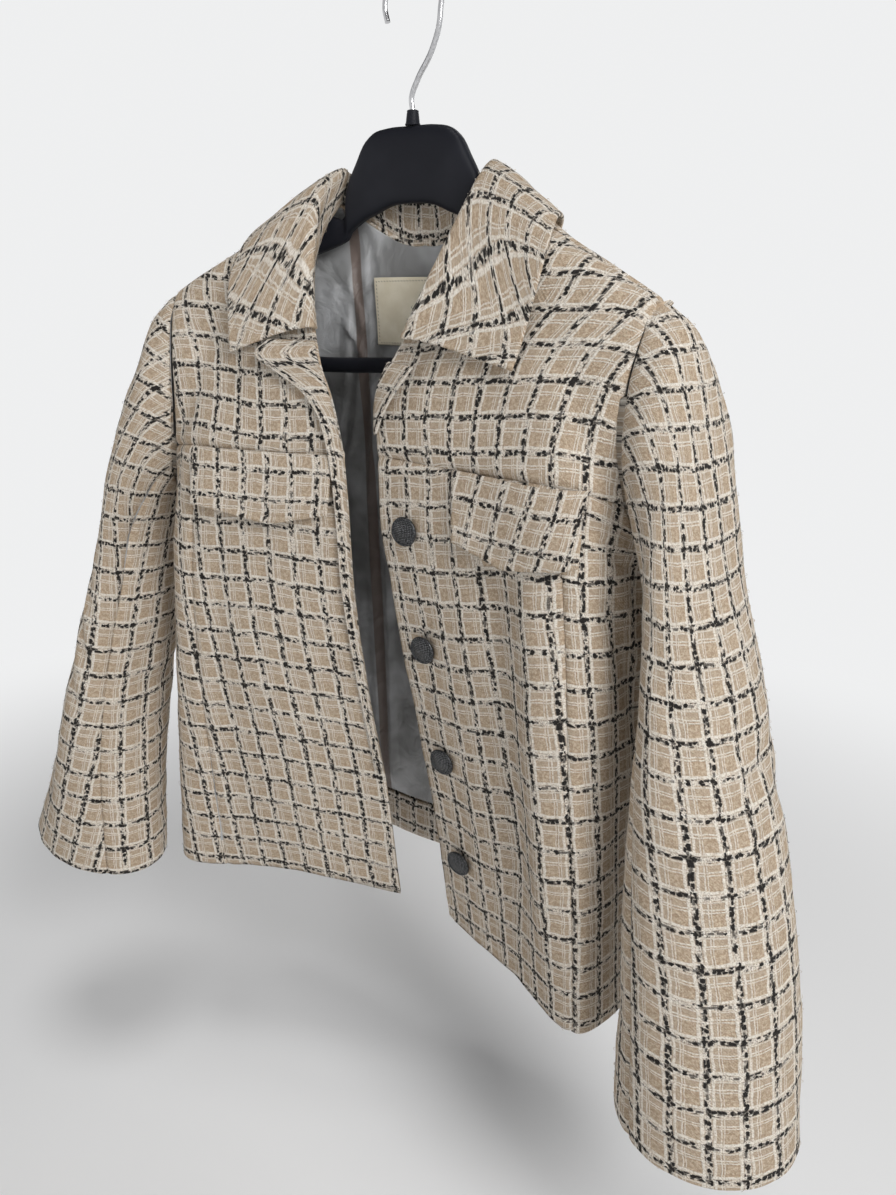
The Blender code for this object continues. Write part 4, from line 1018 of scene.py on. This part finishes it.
def front_place(side, distance, height):
    """The share and row of the place at a distance from a front's edge and at a height."""
    _, rows, _, lengths = dense_front(side)
    share = distance / np.interp(front_row_at(side, 0.1, height), rows, lengths)
    return share, front_row_at(side, share, height)


def lying_on(side, distances, heights, lifts):
    """Points that lie on a front, at distances from its edge and heights, moved out by lifts."""
    line = []
    for distance, height, lift in zip(distances, heights, lifts):
        point = front_point(side, *front_place(side, distance, height))
        line.append(point - inward(point) * lift)
    return line


def laid_piece(name, side, near, uv, tweed, stitched, hand):
    """A tweed piece that lies on a front, from the grid of its near face."""
    turn = turn_of(side)
    ways = inward(near)
    outer = near - ways * TWEED
    piece = cloth(name, turn(outer), TWEED, uv, [tweed], (), hand, turn(ways), stitched)
    declare(name, outer)


def make_flap(side, tweed):
    """A pointed pocket flap that hangs from the yoke seam, a little off the front."""
    start, end = FLAP_ENDS[side]
    shares = edge_spaced(end - start)
    drops = np.interp(shares, (0.0, FLAP_POINT_SHARE, 1.0), (FLAP_INNER_END, FLAP_POINT, FLAP_OUTER_END))
    downs = edge_spaced(FLAP_POINT)
    near = []
    for down in downs:
        lift = np.interp(down, (0.0, 1.0), FLAP_LIFT[side]) + FLAP_RISE * down**2
        distances = start + (end - FLAP_TAPER * down - start) * shares
        near.append(lying_on(side, distances, FLAP_TOP[side] - drops * down, [lift] * len(shares)))
    name = f"{side}_flap"
    u0, v0 = CHECK_STARTS[name]
    across = np.tile((end - start) * shares, (len(downs), 1))
    down = downs[:, None] * drops[None]
    uv = np.stack([across + u0 + FLAP_LEANS[side] * down, v0 - down], axis=-1)
    laid_piece(name, side, np.array(near), uv, tweed, ("high", "first", "last"), HAND_HEIGHTS["flap"])


def make_revers(side, tweed):
    """The front edge's turned-back strip, which widens to the neck and lies on the front."""
    table = np.array(REVERS[side])
    knots = chord_knots([(0.0, 0.0, t[0]) for t in table])
    length = abs(table[-1, 0] - table[0, 0])
    places = spline(knots, table, edge_spaced(length))
    across = edge_spaced(max(place[2] for place in table))
    lifts = spline(REVERS_SHARES, np.array(REVERS_LIFTS)[:, None], across)[:, 0]
    near = []
    for edge_height, outer_height, width in places:
        heights = edge_height + (outer_height - edge_height) * across
        rise = REVERS_RISE * width * across**2
        near.append(lying_on(side, across * width, heights, lifts + rise))
    near = np.array(near)
    name = f"{side}_revers"
    off_edge = arc(near[:, ::-1], axis=1)[:, ::-1]
    along = np.tile(arc(near[:, 0])[:, None], (1, len(across)))
    uv = np.stack([WARP_REPEAT / 2 + STRIP_BAND - off_edge, along + STRIP_STARTS[side]], axis=-1)
    laid_piece(name, side, near, uv, tweed, ("last",), HAND_HEIGHTS["revers"])


def front_neck(side):
    """A front's neckline from the collar's end to the shoulder, and the ways off the panel there."""
    rows = np.linspace(COLLAR_END_ROW, TOP_ROW, 40)
    line = front_grid(side, [0.0], rows)[:, 0]
    ways = line - front_grid(side, [NECK_STEP], rows)[:, 0]
    along = unit(np.gradient(line, axis=0))
    ways = unit(ways - along * np.sum(ways * along, axis=1, keepdims=True))
    up = np.interp(rows, (NECK_RISE_ROW, TOP_ROW), (0.0, 1.0))[:, None]
    return line, unit(ways + up * (0.0, 0.0, 1.0))


def neck_seam():
    """The neckline and the ways off the panels, from the right front end round to the left."""
    left, left_ways = front_neck("left")
    right, right_ways = (mirrored(part) for part in front_neck("right"))
    shares = 0.5 + np.linspace(-1.0, 1.0, 61)[1:-1] * NECK_SHARE / 2.0
    back = back_grid(shares, [TOP_ROW])[0]
    up = np.tile((0.0, 0.0, 1.0), (len(back), 1))
    line = np.concatenate([right, back, left[::-1]])
    return line, np.concatenate([right_ways, up, left_ways[::-1]])


def collar_lines(places):
    """The roll line and the outer edge at places from -1, the right end, to 1, the left end."""
    left = COLLAR + COLLAR_ENDS["left"]
    right = (COLLAR[1:] + COLLAR_ENDS["right"])[::-1]
    rolls = [mirrored(np.array(c.roll)) for c in right] + [c.roll for c in left]
    edges = [mirrored(np.array(c.edge)) for c in right] + [c.edge for c in left]
    knots = [-c.place for c in right] + [c.place for c in left]
    return spline(knots, rolls, places), spline(knots, edges, places)


def collar_uv(along, down, places):
    """Flat places on the collar, which is cut as a strip that curves to both ends."""
    turns = np.interp(np.abs(places), COLLAR_TURN_PLACES, (0.0, math.radians(COLLAR_TURN)))
    turns *= -np.sign(places)
    ways = np.stack([np.cos(turns), np.sin(turns)], axis=-1)
    steps = (ways[1:] + ways[:-1]) / 2 * np.diff(along)[:, None]
    line = np.vstack([np.zeros((1, 2)), np.cumsum(steps, axis=0)])
    middle = len(along) // 2
    line += np.array((along[middle], COLLAR_MIDLINE)) - line[middle] + CHECK_STARTS["collar"]
    across = np.stack([-ways[:, 1], ways[:, 0]], axis=-1)
    return line[:, None] + across[:, None] * (down - COLLAR_MIDLINE)[..., None]


def make_collar(tweed):
    """The turned-down collar: one shell up the stand, over the roll and down the fall."""
    seam, ways = neck_seam()
    knots = chord_knots(seam)
    shares = edge_spaced(arc(seam)[-1] * COLLAR_EASE)
    seam, ways = spline(knots, seam, shares), unit(spline(knots, ways, shares))
    places = 2.0 * shares - 1.0
    rolls, edges = collar_lines(places)
    necks = seam + ways * COLLAR_GAP
    crown = np.array((0.0, 0.0, COLLAR_CROWN))
    sections = np.stack([
        necks,
        (necks + rolls) / 2,
        rolls,
        rolls + unit(edges - rolls) * COLLAR_ROLL + crown / 2,
        rolls + (edges - rolls) * COLLAR_SHARES[0] + crown,
        rolls + (edges - rolls) * COLLAR_SHARES[1] + crown / 2,
        edges,
    ], axis=1)
    across = edge_spaced(COLLAR_ACROSS)
    under = np.array([curve(section, across) for section in sections])
    ways_up = grid_normals(under)
    inside = np.interp(np.abs(places), COLLAR_END_PLACES, (1.0, 0.0))[:, None, None]
    start = np.clip(1.0 - across / COLLAR_START, 0.0, 1.0)[None, :, None] * inside
    ways_up = unit(ways_up * (1.0 - start) + inward(seam)[:, None] * start)
    upper = under + ways_up * COLLAR_THICK
    uv = collar_uv(arc((seam + edges) / 2), arc(upper, axis=1), places)
    piece = cloth("collar", upper, COLLAR_THICK, uv, [tweed], (), HAND_HEIGHTS["collar"], -ways_up,
                  ("low", "high", "last"))
    declare("collar", upper)


def turned(name, profile, sides, made):
    """A turned mesh from an outline of (radius, height)."""
    bm = bmesh.new()
    line = [bm.verts.new((r, 0.0, h)) for r, h in profile]
    edges = [bm.edges.new(pair) for pair in zip(line, line[1:])]
    bmesh.ops.spin(bm, geom=line + edges, cent=(0, 0, 0), axis=(0, 0, 1), angle=2 * math.pi, steps=sides,
                   use_merge=True)
    bmesh.ops.remove_doubles(bm, verts=bm.verts[:], dist=1e-6)
    bmesh.ops.recalc_face_normals(bm, faces=bm.faces[:])
    mesh = bpy.data.meshes.new(name)
    bm.to_mesh(mesh)
    bm.free()
    mesh.materials.append(made)
    mesh.shade_smooth()
    return mesh


def make_buttons(metal):
    """Four turned shank buttons on the left front, which lean a little on their shanks."""
    mesh = turned("button", BUTTON_PROFILE, BUTTON_SIDES, metal)
    for number, place in enumerate(BUTTONS, 1):
        share, row = front_place("left", BUTTON_INSET, place.height)
        aside, up = BUTTON_STEPS
        across = front_point("left", share + aside, row) - front_point("left", share - aside, row)
        rise = front_point("left", share, row + up) - front_point("left", share, row - up)
        facing = unit(np.cross(across, rise))
        seat = front_point("left", share, row) + facing * (place.seat + BUTTON_OFF) + DATUM
        facing = unit(facing + unit(across) * BUTTON_LEAN)
        button = place_object(f"button_{number}_turned", mesh)
        turn = Vector(facing).to_track_quat("Z", "Y").to_matrix().to_4x4()
        button.matrix_world = Matrix.Translation(Vector(seat)) @ turn
        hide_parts(f"button_{number}")


def make_hanger(plastic):
    """The moulded hanger: oval sections from one arm's tip over the neck to the other's."""
    table = [Arm(-a.x, *a[1:]) for a in HANGER[:0:-1]] + list(HANGER)
    knots = chord_knots([(a.x, 0.0, a.top) for a in table])
    sections = spline(knots, table, np.linspace(0.0, 1.0, HANGER_SECTIONS))
    angle = 2.0 * math.pi * (np.arange(HANGER_SIDES) + 0.5) / HANGER_SIDES
    reach = np.sign(np.cos(angle)) * np.abs(np.cos(angle)) ** HANGER_SQUARE
    rise = np.sign(np.sin(angle)) * np.abs(np.sin(angle)) ** HANGER_SQUARE
    bm = bmesh.new()
    loops = []
    for x, y, top, bottom, half in sections:
        ys, zs = y + half * reach, (top + bottom) / 2 + (top - bottom) / 2 * rise - HOOK_DROP
        loops.append([bm.verts.new((x, a, b)) for a, b in zip(ys, zs)])
    for first, second in zip(loops, loops[1:]):
        for k in range(HANGER_SIDES):
            after = (k + 1) % HANGER_SIDES
            bm.faces.new((first[k], first[after], second[after], second[k]))
    bm.faces.new(loops[0])
    bm.faces.new(loops[-1])
    bmesh.ops.recalc_face_normals(bm, faces=bm.faces[:])
    mesh = bpy.data.meshes.new("hanger_moulding")
    bm.to_mesh(mesh)
    bm.free()
    mesh.materials.append(plastic)
    mesh.shade_smooth()
    mesh.set_sharp_from_angle(angle=math.radians(HANGER_SHARP))
    piece = place_object("hanger_moulding", mesh)
    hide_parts("hanger_body")


def make_wire(name, node, route, radius, made):
    """A round wire along a route, with filled caps."""
    wire = bpy.data.curves.new(name, "CURVE")
    wire.dimensions = "3D"
    wire.bevel_depth = radius
    wire.bevel_resolution = WIRE_ROUND
    wire.use_fill_caps = True
    line = wire.splines.new("POLY")
    line.points.add(len(route) - 1)
    for point, place in zip(line.points, route + DATUM):
        point.co = (*place, 1.0)
    line.use_smooth = True
    wire.materials.append(made)
    piece = place_object(name, wire)
    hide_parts(node)


def make_bar_and_hook(plastic, steel):
    """The bar between the hanger's arms, the ferrule, and the wire hook."""
    other = [(-x, y, z) for x, y, z in BAR_ROUTE[-2::-1]]
    route = curve(np.array(list(BAR_ROUTE) + other), np.linspace(0.0, 1.0, BAR_POINTS))
    make_wire("bar_moulding", "hanger_bar", route, BAR_RADIUS, plastic)
    mesh = turned("ferrule_turned", FERRULE_PROFILE, FERRULE_SIDES, plastic)
    ferrule = place_object("ferrule_turned", mesh)
    ferrule.location = Vector(DATUM)
    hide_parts("hanger_ferrule")
    angles = np.radians(np.linspace(*HOOK_SWEEP, HOOK_BENDS))
    bow = [(HOOK_RADIUS * math.cos(a), HOOK_CENTRE_Z + HOOK_RADIUS * math.sin(a)) for a in angles]
    bends = np.array([(x, 0.0, z) for x, z in [*HOOK_STEM, *bow]])
    route = curve(bends, np.linspace(0.0, 1.0, HOOK_POINTS))
    make_wire("hook_wire", "hanger_hook", route, HOOK_WIRE, steel)


class Graph:
    """Short calls that add a material's nodes and links."""

    def __init__(self, name):
        self.material = bpy.data.materials.new(name)
        self.material.use_nodes = True
        self.tree = self.material.node_tree
        self.shader = self.tree.nodes["Principled BSDF"]

    def node(self, kind, inputs=(), **settings):
        """A node with settings, and sockets or numbers on its inputs."""
        made = self.tree.nodes.new(kind)
        for key, value in settings.items():
            setattr(made, key, value)
        for key, value in dict(inputs).items():
            self.join(value, made.inputs[key])
        return made

    def join(self, value, socket):
        """Links a socket, or sets a constant."""
        if isinstance(value, bpy.types.NodeSocket):
            self.tree.links.new(value, socket)
        else:
            socket.default_value = value

    def math(self, operation, first, second=0.0):
        """One sum on one or two values."""
        return self.node("ShaderNodeMath", {0: first, 1: second}, operation=operation).outputs[0]

    def times(self, first, second):
        """The product of two values."""
        return self.math("MULTIPLY", first, second)

    def plus(self, first, second):
        """The sum of two values."""
        return self.math("ADD", first, second)

    def less(self, first, second):
        """The first value less the second."""
        return self.math("SUBTRACT", first, second)

    def most(self, first, second):
        """The larger of two values."""
        return self.math("MAXIMUM", first, second)

    def radius(self, x, y):
        """The distance of a place from the middle of a plane."""
        return self.math("SQRT", self.plus(self.times(x, x), self.times(y, y)))

    def ramp(self, value, low, high, start=0.0, end=1.0):
        """A value that goes smoothly from start to end between two limits."""
        inputs = {"Value": value, "From Min": low, "From Max": high, "To Min": start, "To Max": end}
        return self.node("ShaderNodeMapRange", inputs, interpolation_type="SMOOTHSTEP").outputs[0]

    def noise(self, vector, scale, detail=2.0, rough=0.5):
        """Noise values and colours at a scale."""
        inputs = {"Vector": vector, "Scale": scale, "Detail": detail, "Roughness": rough}
        return self.node("ShaderNodeTexNoise", inputs)

    def beads(self, x, y):
        """Round cells on a plane: the distance from each cell's middle and the cell's own colour."""
        return self.node("ShaderNodeTexVoronoi", {"Vector": self.vector(x, y), "Scale": 1.0},
                         voronoi_dimensions="2D")

    def vector(self, x, y, z=0.0):
        """A vector from its parts."""
        return self.node("ShaderNodeCombineXYZ", {0: x, 1: y, 2: z}).outputs[0]

    def parts(self, vector):
        """The parts of a vector."""
        return self.node("ShaderNodeSeparateXYZ", {0: vector}).outputs

    def mix(self, factor, first, second):
        """One colour over another."""
        made = self.node("ShaderNodeMix", data_type="RGBA")
        self.join(factor, made.inputs["Factor"])
        self.join(first, made.inputs[6])
        self.join(second, made.inputs[7])
        return made.outputs[2]

    def finish(self, colour, height, distance, **constants):
        """Puts a colour and a bump on the shader, and constants on its sockets."""
        self.join(colour, self.shader.inputs["Base Color"])
        bump = self.node("ShaderNodeBump", {"Height": height, "Strength": 1.0, "Distance": distance})
        self.tree.links.new(bump.outputs[0], self.shader.inputs["Normal"])
        for key, value in constants.items():
            self.shader.inputs[key.replace("_", " ")].default_value = value
        return self.material


# Tweed colours as linear values
BEIGE = (0.365, 0.270, 0.184, 1.0)
SAND = (0.575, 0.468, 0.352, 1.0)
GREIGE = (0.455, 0.376, 0.293, 1.0)
WHITE = (0.860, 0.815, 0.740, 1.0)
BLACK = (0.0045, 0.0042, 0.0052, 1.0)
GREY = (0.260, 0.235, 0.205, 1.0)
# White lines of the warp and the weft: centre, half width and strength, as shares of a repeat
WARP_WHITES = ((0.655, 0.045, 1.0), (0.345, 0.035, 0.9), (0.105, 0.016, 0.7), (0.180, 0.018, 0.8))
WEFT_WHITES = ((0.640, 0.042, 1.0), (0.375, 0.022, 0.7), (0.085, 0.018, 0.8), (0.160, 0.020, 0.9))
BAND_HALF = 0.0019
# How far the threads and their beads stray from the chart, and the weave's pitch
THREAD_WANDER = 0.0034
BEAD_BEND = 0.0022
WEAVE_PITCH = 0.0021


def stripe_masks(g, cloth_at, other_at, beads, repeat, whites, levels, seed):
    """Masks of one set of threads: white lines, greige ground, mottled band and its black beads."""
    turns = g.math("DIVIDE", cloth_at, repeat)
    place = g.math("FRACT", turns)
    thread = g.math("FLOOR", turns)
    off = g.times(g.math("ABSOLUTE", g.less(place, 0.5)), repeat)
    band = g.ramp(off, BAND_HALF * 1.35, BAND_HALF * 0.75)
    along = g.vector(g.times(thread, 5.3), g.times(other_at, 65.0), seed)
    level = g.ramp(g.noise(along, 1.0, 1.0).outputs[0], 0.30, 0.70, *levels)
    chosen = g.ramp(g.less(g.parts(beads.outputs["Color"])[0], level), -0.03, 0.03)
    bead = g.times(chosen, g.ramp(beads.outputs["Distance"], 0.54, 0.38))
    along = g.vector(g.times(thread, 2.9), g.times(other_at, 210.0), seed)
    dash = g.noise(along, 1.0, 1.0)
    core = g.times(g.ramp(off, 0.0011, 0.0005), g.ramp(dash.outputs[0], 0.46, 0.56, 0.0, 0.8))
    black = g.most(g.times(band, bead), core)
    white = 0.0
    for centre, half_width, amount in whites:
        near = g.math("ABSOLUTE", g.less(place, centre))
        white = g.most(white, g.ramp(near, half_width * 1.4, half_width * 0.6, 0.0, amount))
    along = g.vector(g.times(thread, 3.7), g.times(other_at, 380.0), seed + 9.0)
    white = g.times(white, g.ramp(g.noise(along, 1.0, 2.0).outputs[0], 0.28, 0.50, 0.4, 1.0))
    greige = g.ramp(g.math("ABSOLUTE", g.less(place, 0.29)), 0.13, 0.09)
    return white, greige, band, black


def tweed_material():
    """Boucle tweed: a charted check of beige, white and black threads, uneven as spun."""
    g = Graph("tweed_boucle")
    uv = g.node("ShaderNodeUVMap", uv_map="cloth").outputs[0]
    wander = g.parts(g.noise(uv, 75.0, 2.0).outputs[1])
    parts = g.parts(uv)
    u = g.plus(parts[0], g.times(g.less(wander[0], 0.5), THREAD_WANDER))
    v = g.plus(parts[1], g.times(g.less(wander[1], 0.5), THREAD_WANDER))
    fine = g.noise(uv, 900.0, 3.0, 0.6).outputs[0]
    curl = g.noise(uv, 420.0, 4.0, 0.65).outputs[0]
    bends = g.parts(g.noise(uv, 520.0, 1.0).outputs[1])[:2]
    bends = [g.times(g.less(part, 0.5), BEAD_BEND) for part in bends]
    bead_u, bead_v = g.plus(u, bends[0]), g.plus(v, bends[1])
    upright = g.beads(g.times(bead_u, 330.0), g.times(bead_v, 270.0))
    level = g.beads(g.times(bead_u, 270.0), g.times(bead_v, 330.0))
    warp = stripe_masks(g, u, v, upright, WARP_REPEAT, WARP_WHITES, (0.52, 0.08), 1.0)
    weft = stripe_masks(g, v, u, level, WEFT_REPEAT, WEFT_WHITES, (0.66, 0.16), 40.0)
    spun = g.plus(g.times(curl, 0.6), g.times(fine, 0.4))
    ground = g.mix(g.ramp(spun, 0.40, 0.62), BEIGE, SAND)
    greige = g.times(g.most(warp[1], weft[1]), 0.35)
    ground = g.mix(greige, ground, GREIGE)
    white = g.most(warp[0], weft[0])
    white = g.times(white, g.ramp(fine, 0.32, 0.56, 0.40, 1.0))
    colour = g.mix(g.times(white, 0.88), ground, WHITE)
    band = g.most(warp[2], weft[2])
    mottled = g.mix(g.ramp(fine, 0.36, 0.54), GREY, WHITE)
    colour = g.mix(g.times(band, 0.62), colour, mottled)
    black = g.most(warp[3], weft[3])
    colour = g.mix(g.times(black, 0.97), colour, BLACK)
    pitch = 2.0 * math.pi / WEAVE_PITCH
    weave = g.times(g.math("SINE", g.times(u, pitch)), g.math("SINE", g.times(v, pitch)))
    height = g.plus(g.times(weave, 0.18), g.times(curl, 1.5))
    for mask, amount in ((white, 0.40), (black, 0.70), (fine, 0.6)):
        height = g.plus(height, g.times(mask, amount))
    return g.finish(colour, height, 0.0010, Roughness=0.95, Sheen_Weight=0.04, Sheen_Roughness=0.6,
                    Sheen_Tint=(0.95, 0.90, 0.82, 1.0), Specular_IOR_Level=0.06)


# Low and high colours of the other materials, the painted shade down the lining's pleat and the label's
# stitches
LINING_GREYS = ((0.250, 0.250, 0.248, 1.0), (0.600, 0.608, 0.620, 1.0))
LABEL_CREAMS = ((0.870, 0.785, 0.600, 1.0), (0.950, 0.870, 0.695, 1.0))
BUTTON_METALS = ((0.014, 0.0145, 0.016, 1.0), (0.230, 0.235, 0.240, 1.0))
PLASTIC_BLACKS = ((0.0085, 0.0090, 0.0130, 1.0), (0.0130, 0.0138, 0.0185, 1.0))
STEEL_GREYS = ((0.40, 0.40, 0.41, 1.0), (0.66, 0.66, 0.67, 1.0))
PAINTED_PLEAT_SHADE = (0.170, 0.122, 0.100, 1.0)
STITCH_BROWN = (0.36, 0.30, 0.20, 1.0)
# Painted shade down the lining's pleat: its middle and half width, measured from the back's centre
PLEAT_CENTRE = -0.0672
PLEAT_HALF = 0.0052


def lining_material():
    """Pale grey satin lining with a fine twill and soft crumples, and a brownish strip of painted shade down
    its pleat.
    """
    g = Graph("lining_satin")
    uv = g.node("ShaderNodeUVMap", uv_map="cloth").outputs[0]
    parts = g.parts(uv)
    broad = g.noise(uv, 16.0, 3.0, 0.55).outputs[0]
    diagonal = g.math("SINE", g.times(g.plus(parts[0], parts[1]), 9000.0))
    colour = g.mix(g.ramp(broad, 0.35, 0.68), *LINING_GREYS)
    # A brownish strip of painted shade down the pleat, where the fold's shadow falls
    off = g.math("ABSOLUTE", g.less(parts[0], PLEAT_CENTRE))
    pleat_shade = g.ramp(off, PLEAT_HALF * 1.12, PLEAT_HALF * 0.88, 0.0, 0.9)
    colour = g.mix(pleat_shade, colour, PAINTED_PLEAT_SHADE)
    crumple = g.noise(uv, 38.0, 3.0, 0.5)
    crumple.inputs["Distortion"].default_value = 0.8
    height = g.plus(g.times(crumple.outputs[0], 1.0), g.times(diagonal, 0.01))
    return g.finish(colour, height, 0.0048, Roughness=0.32, Sheen_Weight=0.25, Sheen_Roughness=0.4,
                    Specular_IOR_Level=0.60, Anisotropic=0.4)


def label_material():
    """Bare woven label: satin ground with a stitched border and no words."""
    g = Graph("label_woven")
    uv = g.node("ShaderNodeUVMap", uv_map="cloth").outputs[0]
    u, v, _ = g.parts(uv)
    width, height = LABEL_SIZE
    inset_u = g.math("MINIMUM", u, g.less(width, u))
    inset_v = g.math("MINIMUM", v, g.less(height, v))
    near = g.math("MINIMUM", inset_u, inset_v)
    along = g.math("SINE", g.times(g.plus(u, v), 2200.0))
    band = g.ramp(g.math("ABSOLUTE", g.less(near, 0.0022)), 0.0006, 0.0003)
    stitch = g.times(band, g.ramp(along, -0.2, 0.2))
    ribs = g.math("SINE", g.times(v, 9000.0))
    cloudy = g.noise(uv, 60.0, 3.0).outputs[0]
    colour = g.mix(g.ramp(cloudy, 0.35, 0.65), *LABEL_CREAMS)
    colour = g.mix(g.times(stitch, 0.7), colour, STITCH_BROWN)
    height = g.plus(g.times(ribs, 0.12), g.times(stitch, -0.6))
    return g.finish(colour, height, 0.0005, Roughness=0.58, Sheen_Weight=0.3, Sheen_Roughness=0.4,
                    Specular_IOR_Level=0.35)


def button_material():
    """Dark antiqued metal with a carved basket ground and rubbed high spots."""
    g = Graph("button_antique")
    place = g.node("ShaderNodeTexCoord").outputs["Object"]
    x, y, _ = g.parts(place)
    radius = g.radius(x, y)
    first = g.math("SINE", g.times(g.plus(x, y), 2400.0))
    second = g.math("SINE", g.times(g.less(x, y), 2400.0))
    carved = g.times(g.times(first, second), g.ramp(radius, 0.0088, 0.0080))
    worn = g.noise(place, 900.0, 4.0).outputs[0]
    high = g.plus(g.times(carved, 0.5), worn)
    colour = g.mix(g.ramp(high, 0.35, 0.95), *BUTTON_METALS)
    height = g.plus(carved, g.times(worn, 0.5))
    return g.finish(colour, height, 0.0006, Roughness=0.42, Metallic=0.75, Specular_IOR_Level=0.5)


def plastic_material():
    """Near-black moulded plastic with a fine satin grain."""
    g = Graph("hanger_plastic")
    place = g.node("ShaderNodeTexCoord").outputs["Object"]
    grain = g.noise(place, 2600.0, 3.0).outputs[0]
    broad = g.noise(place, 22.0, 3.0).outputs[0]
    colour = g.mix(g.ramp(broad, 0.35, 0.70), *PLASTIC_BLACKS)
    return g.finish(colour, grain, 0.00010, Roughness=0.50, Specular_IOR_Level=0.18)


def steel_material():
    """Bright drawn wire with faint lengthwise marks."""
    g = Graph("hook_steel")
    place = g.node("ShaderNodeTexCoord").outputs["Object"]
    x, y, z = g.parts(place)
    streaks = g.noise(g.vector(g.times(x, 14.0), g.times(y, 14.0), z), 160.0, 3.0)
    colour = g.mix(g.ramp(streaks.outputs[0], 0.30, 0.72), *STEEL_GREYS)
    return g.finish(colour, streaks.outputs[0], 0.00008, Roughness=0.24, Metallic=1.0)


def floor_material():
    """Pale floor that fades into the pale surroundings further off."""
    g = Graph("floor_pale")
    place = g.node("ShaderNodeTexCoord").outputs["Object"]
    x, y, _ = g.parts(place)
    radius = g.radius(x, y)
    g.shader.inputs["Base Color"].default_value = (0.88, 0.88, 0.88, 1.0)
    g.shader.inputs["Roughness"].default_value = 0.9
    g.shader.inputs["Specular IOR Level"].default_value = 0.1
    glow = g.node("ShaderNodeEmission", {"Color": (*PALE, 1.0), "Strength": 1.0})
    blend = g.node("ShaderNodeMixShader", {0: g.ramp(radius, *FLOOR_FADE)})
    g.tree.links.new(g.shader.outputs[0], blend.inputs[1])
    g.tree.links.new(glow.outputs[0], blend.inputs[2])
    g.tree.links.new(blend.outputs[0], g.tree.nodes["Material Output"].inputs["Surface"])
    return g.material


def make_camera():
    """The camera at the photo's place and angle."""
    a, p, r = (math.radians(d) for d in (CAMERA_TURN, CAMERA_PITCH, CAMERA_ROLL))
    forward = Vector((-math.sin(a) * math.cos(p), math.cos(a) * math.cos(p), -math.sin(p)))
    right = Vector((math.cos(a), math.sin(a), 0.0))
    up = right.cross(forward)
    across, rise = right * math.cos(r) + up * math.sin(r), up * math.cos(r) - right * math.sin(r)
    data = bpy.data.cameras.new("photo_camera")
    data.sensor_fit = "VERTICAL"
    data.sensor_height = SENSOR
    data.lens = FOCAL_PIXELS / PHOTO_HEIGHT * SENSOR
    data.clip_start = 0.01
    camera = bpy.data.objects.new("photo_camera", data)
    turn = Matrix((across, rise, -forward)).transposed().to_4x4()
    camera.matrix_world = Matrix.Translation(Vector(CAMERA_PLACE)) @ turn
    bpy.context.scene.collection.objects.link(camera)
    bpy.context.scene.camera = camera


# Soft lights: place, aim, size and power
Light = namedtuple("Light", "name place aim size power")
LIGHTS = (
    Light("key", (1.60, -0.95, 0.62), (0.0, 0.0, -0.42), 0.8, 27.0),
    Light("fill", (-1.50, -1.30, 0.20), (0.0, 0.0, -0.45), 1.4, 0.4),
    Light("top", (0.45, -0.40, 3.10), (0.05, 0.0, -0.9), 1.4, 38.0),
    Light("rear", (-0.60, 1.60, 0.50), (0.0, 0.0, -0.45), 1.4, 6.0),
)
ZENITH = (0.04, 0.04, 0.042)
SKY_RISE = (0.27, 0.52)


def shade_sky(tree):
    """Surroundings that are pale at the horizon and darker overhead."""
    parts = tree.nodes.new("ShaderNodeSeparateXYZ")
    tree.links.new(tree.nodes.new("ShaderNodeTexCoord").outputs["Generated"], parts.inputs[0])
    ramp = tree.nodes.new("ShaderNodeMapRange")
    ramp.interpolation_type = "SMOOTHSTEP"
    ramp.inputs["From Min"].default_value, ramp.inputs["From Max"].default_value = SKY_RISE
    tree.links.new(parts.outputs[2], ramp.inputs["Value"])
    mix = tree.nodes.new("ShaderNodeMix")
    mix.data_type = "RGBA"
    mix.inputs[6].default_value = (*PALE, 1.0)
    mix.inputs[7].default_value = (*ZENITH, 1.0)
    tree.links.new(ramp.outputs[0], mix.inputs["Factor"])
    tree.links.new(mix.outputs[2], tree.nodes["Background"].inputs[0])


def make_stage():
    """A pale floor, pale surroundings and soft studio lights."""
    world = bpy.data.worlds.new("studio")
    bpy.context.scene.world = world
    world.use_nodes = True
    shade_sky(world.node_tree)
    bpy.context.scene.view_settings.view_transform = "Standard"
    bm = bmesh.new()
    bmesh.ops.create_circle(bm, cap_ends=True, segments=FLOOR_SIDES, radius=FLOOR_RADIUS)
    mesh = bpy.data.meshes.new("floor")
    bm.to_mesh(mesh)
    bm.free()
    mesh.materials.append(floor_material())
    floor = bpy.data.objects.new("floor", mesh)
    floor.location = (0.0, FLOOR_Y, FLOOR_Z)
    bpy.context.scene.collection.objects.link(floor)
    for light in LIGHTS:
        data = bpy.data.lights.new(light.name, "AREA")
        data.shape = "DISK"
        data.size = light.size
        data.energy = light.power
        lamp = bpy.data.objects.new(light.name, data)
        lamp.location = light.place
        aim = Vector(light.aim) - Vector(light.place)
        lamp.rotation_euler = aim.to_track_quat("-Z", "Y").to_euler()
        bpy.context.scene.collection.objects.link(lamp)


def main():
    """Loads the frame, dresses every node and sets the stage."""
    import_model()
    make_camera()
    make_stage()
    tweed, lining = tweed_material(), lining_material()
    for side in ("left", "right"):
        make_front(side, tweed, lining)
        make_flap(side, tweed)
        make_revers(side, tweed)
        make_sleeve(side, tweed, lining)
    make_back(tweed, lining)
    make_label(label_material())
    make_collar(tweed)
    make_fuzz(tweed)
    make_buttons(button_material())
    plastic = plastic_material()
    make_hanger(plastic)
    make_bar_and_hook(plastic, steel_material())


main()
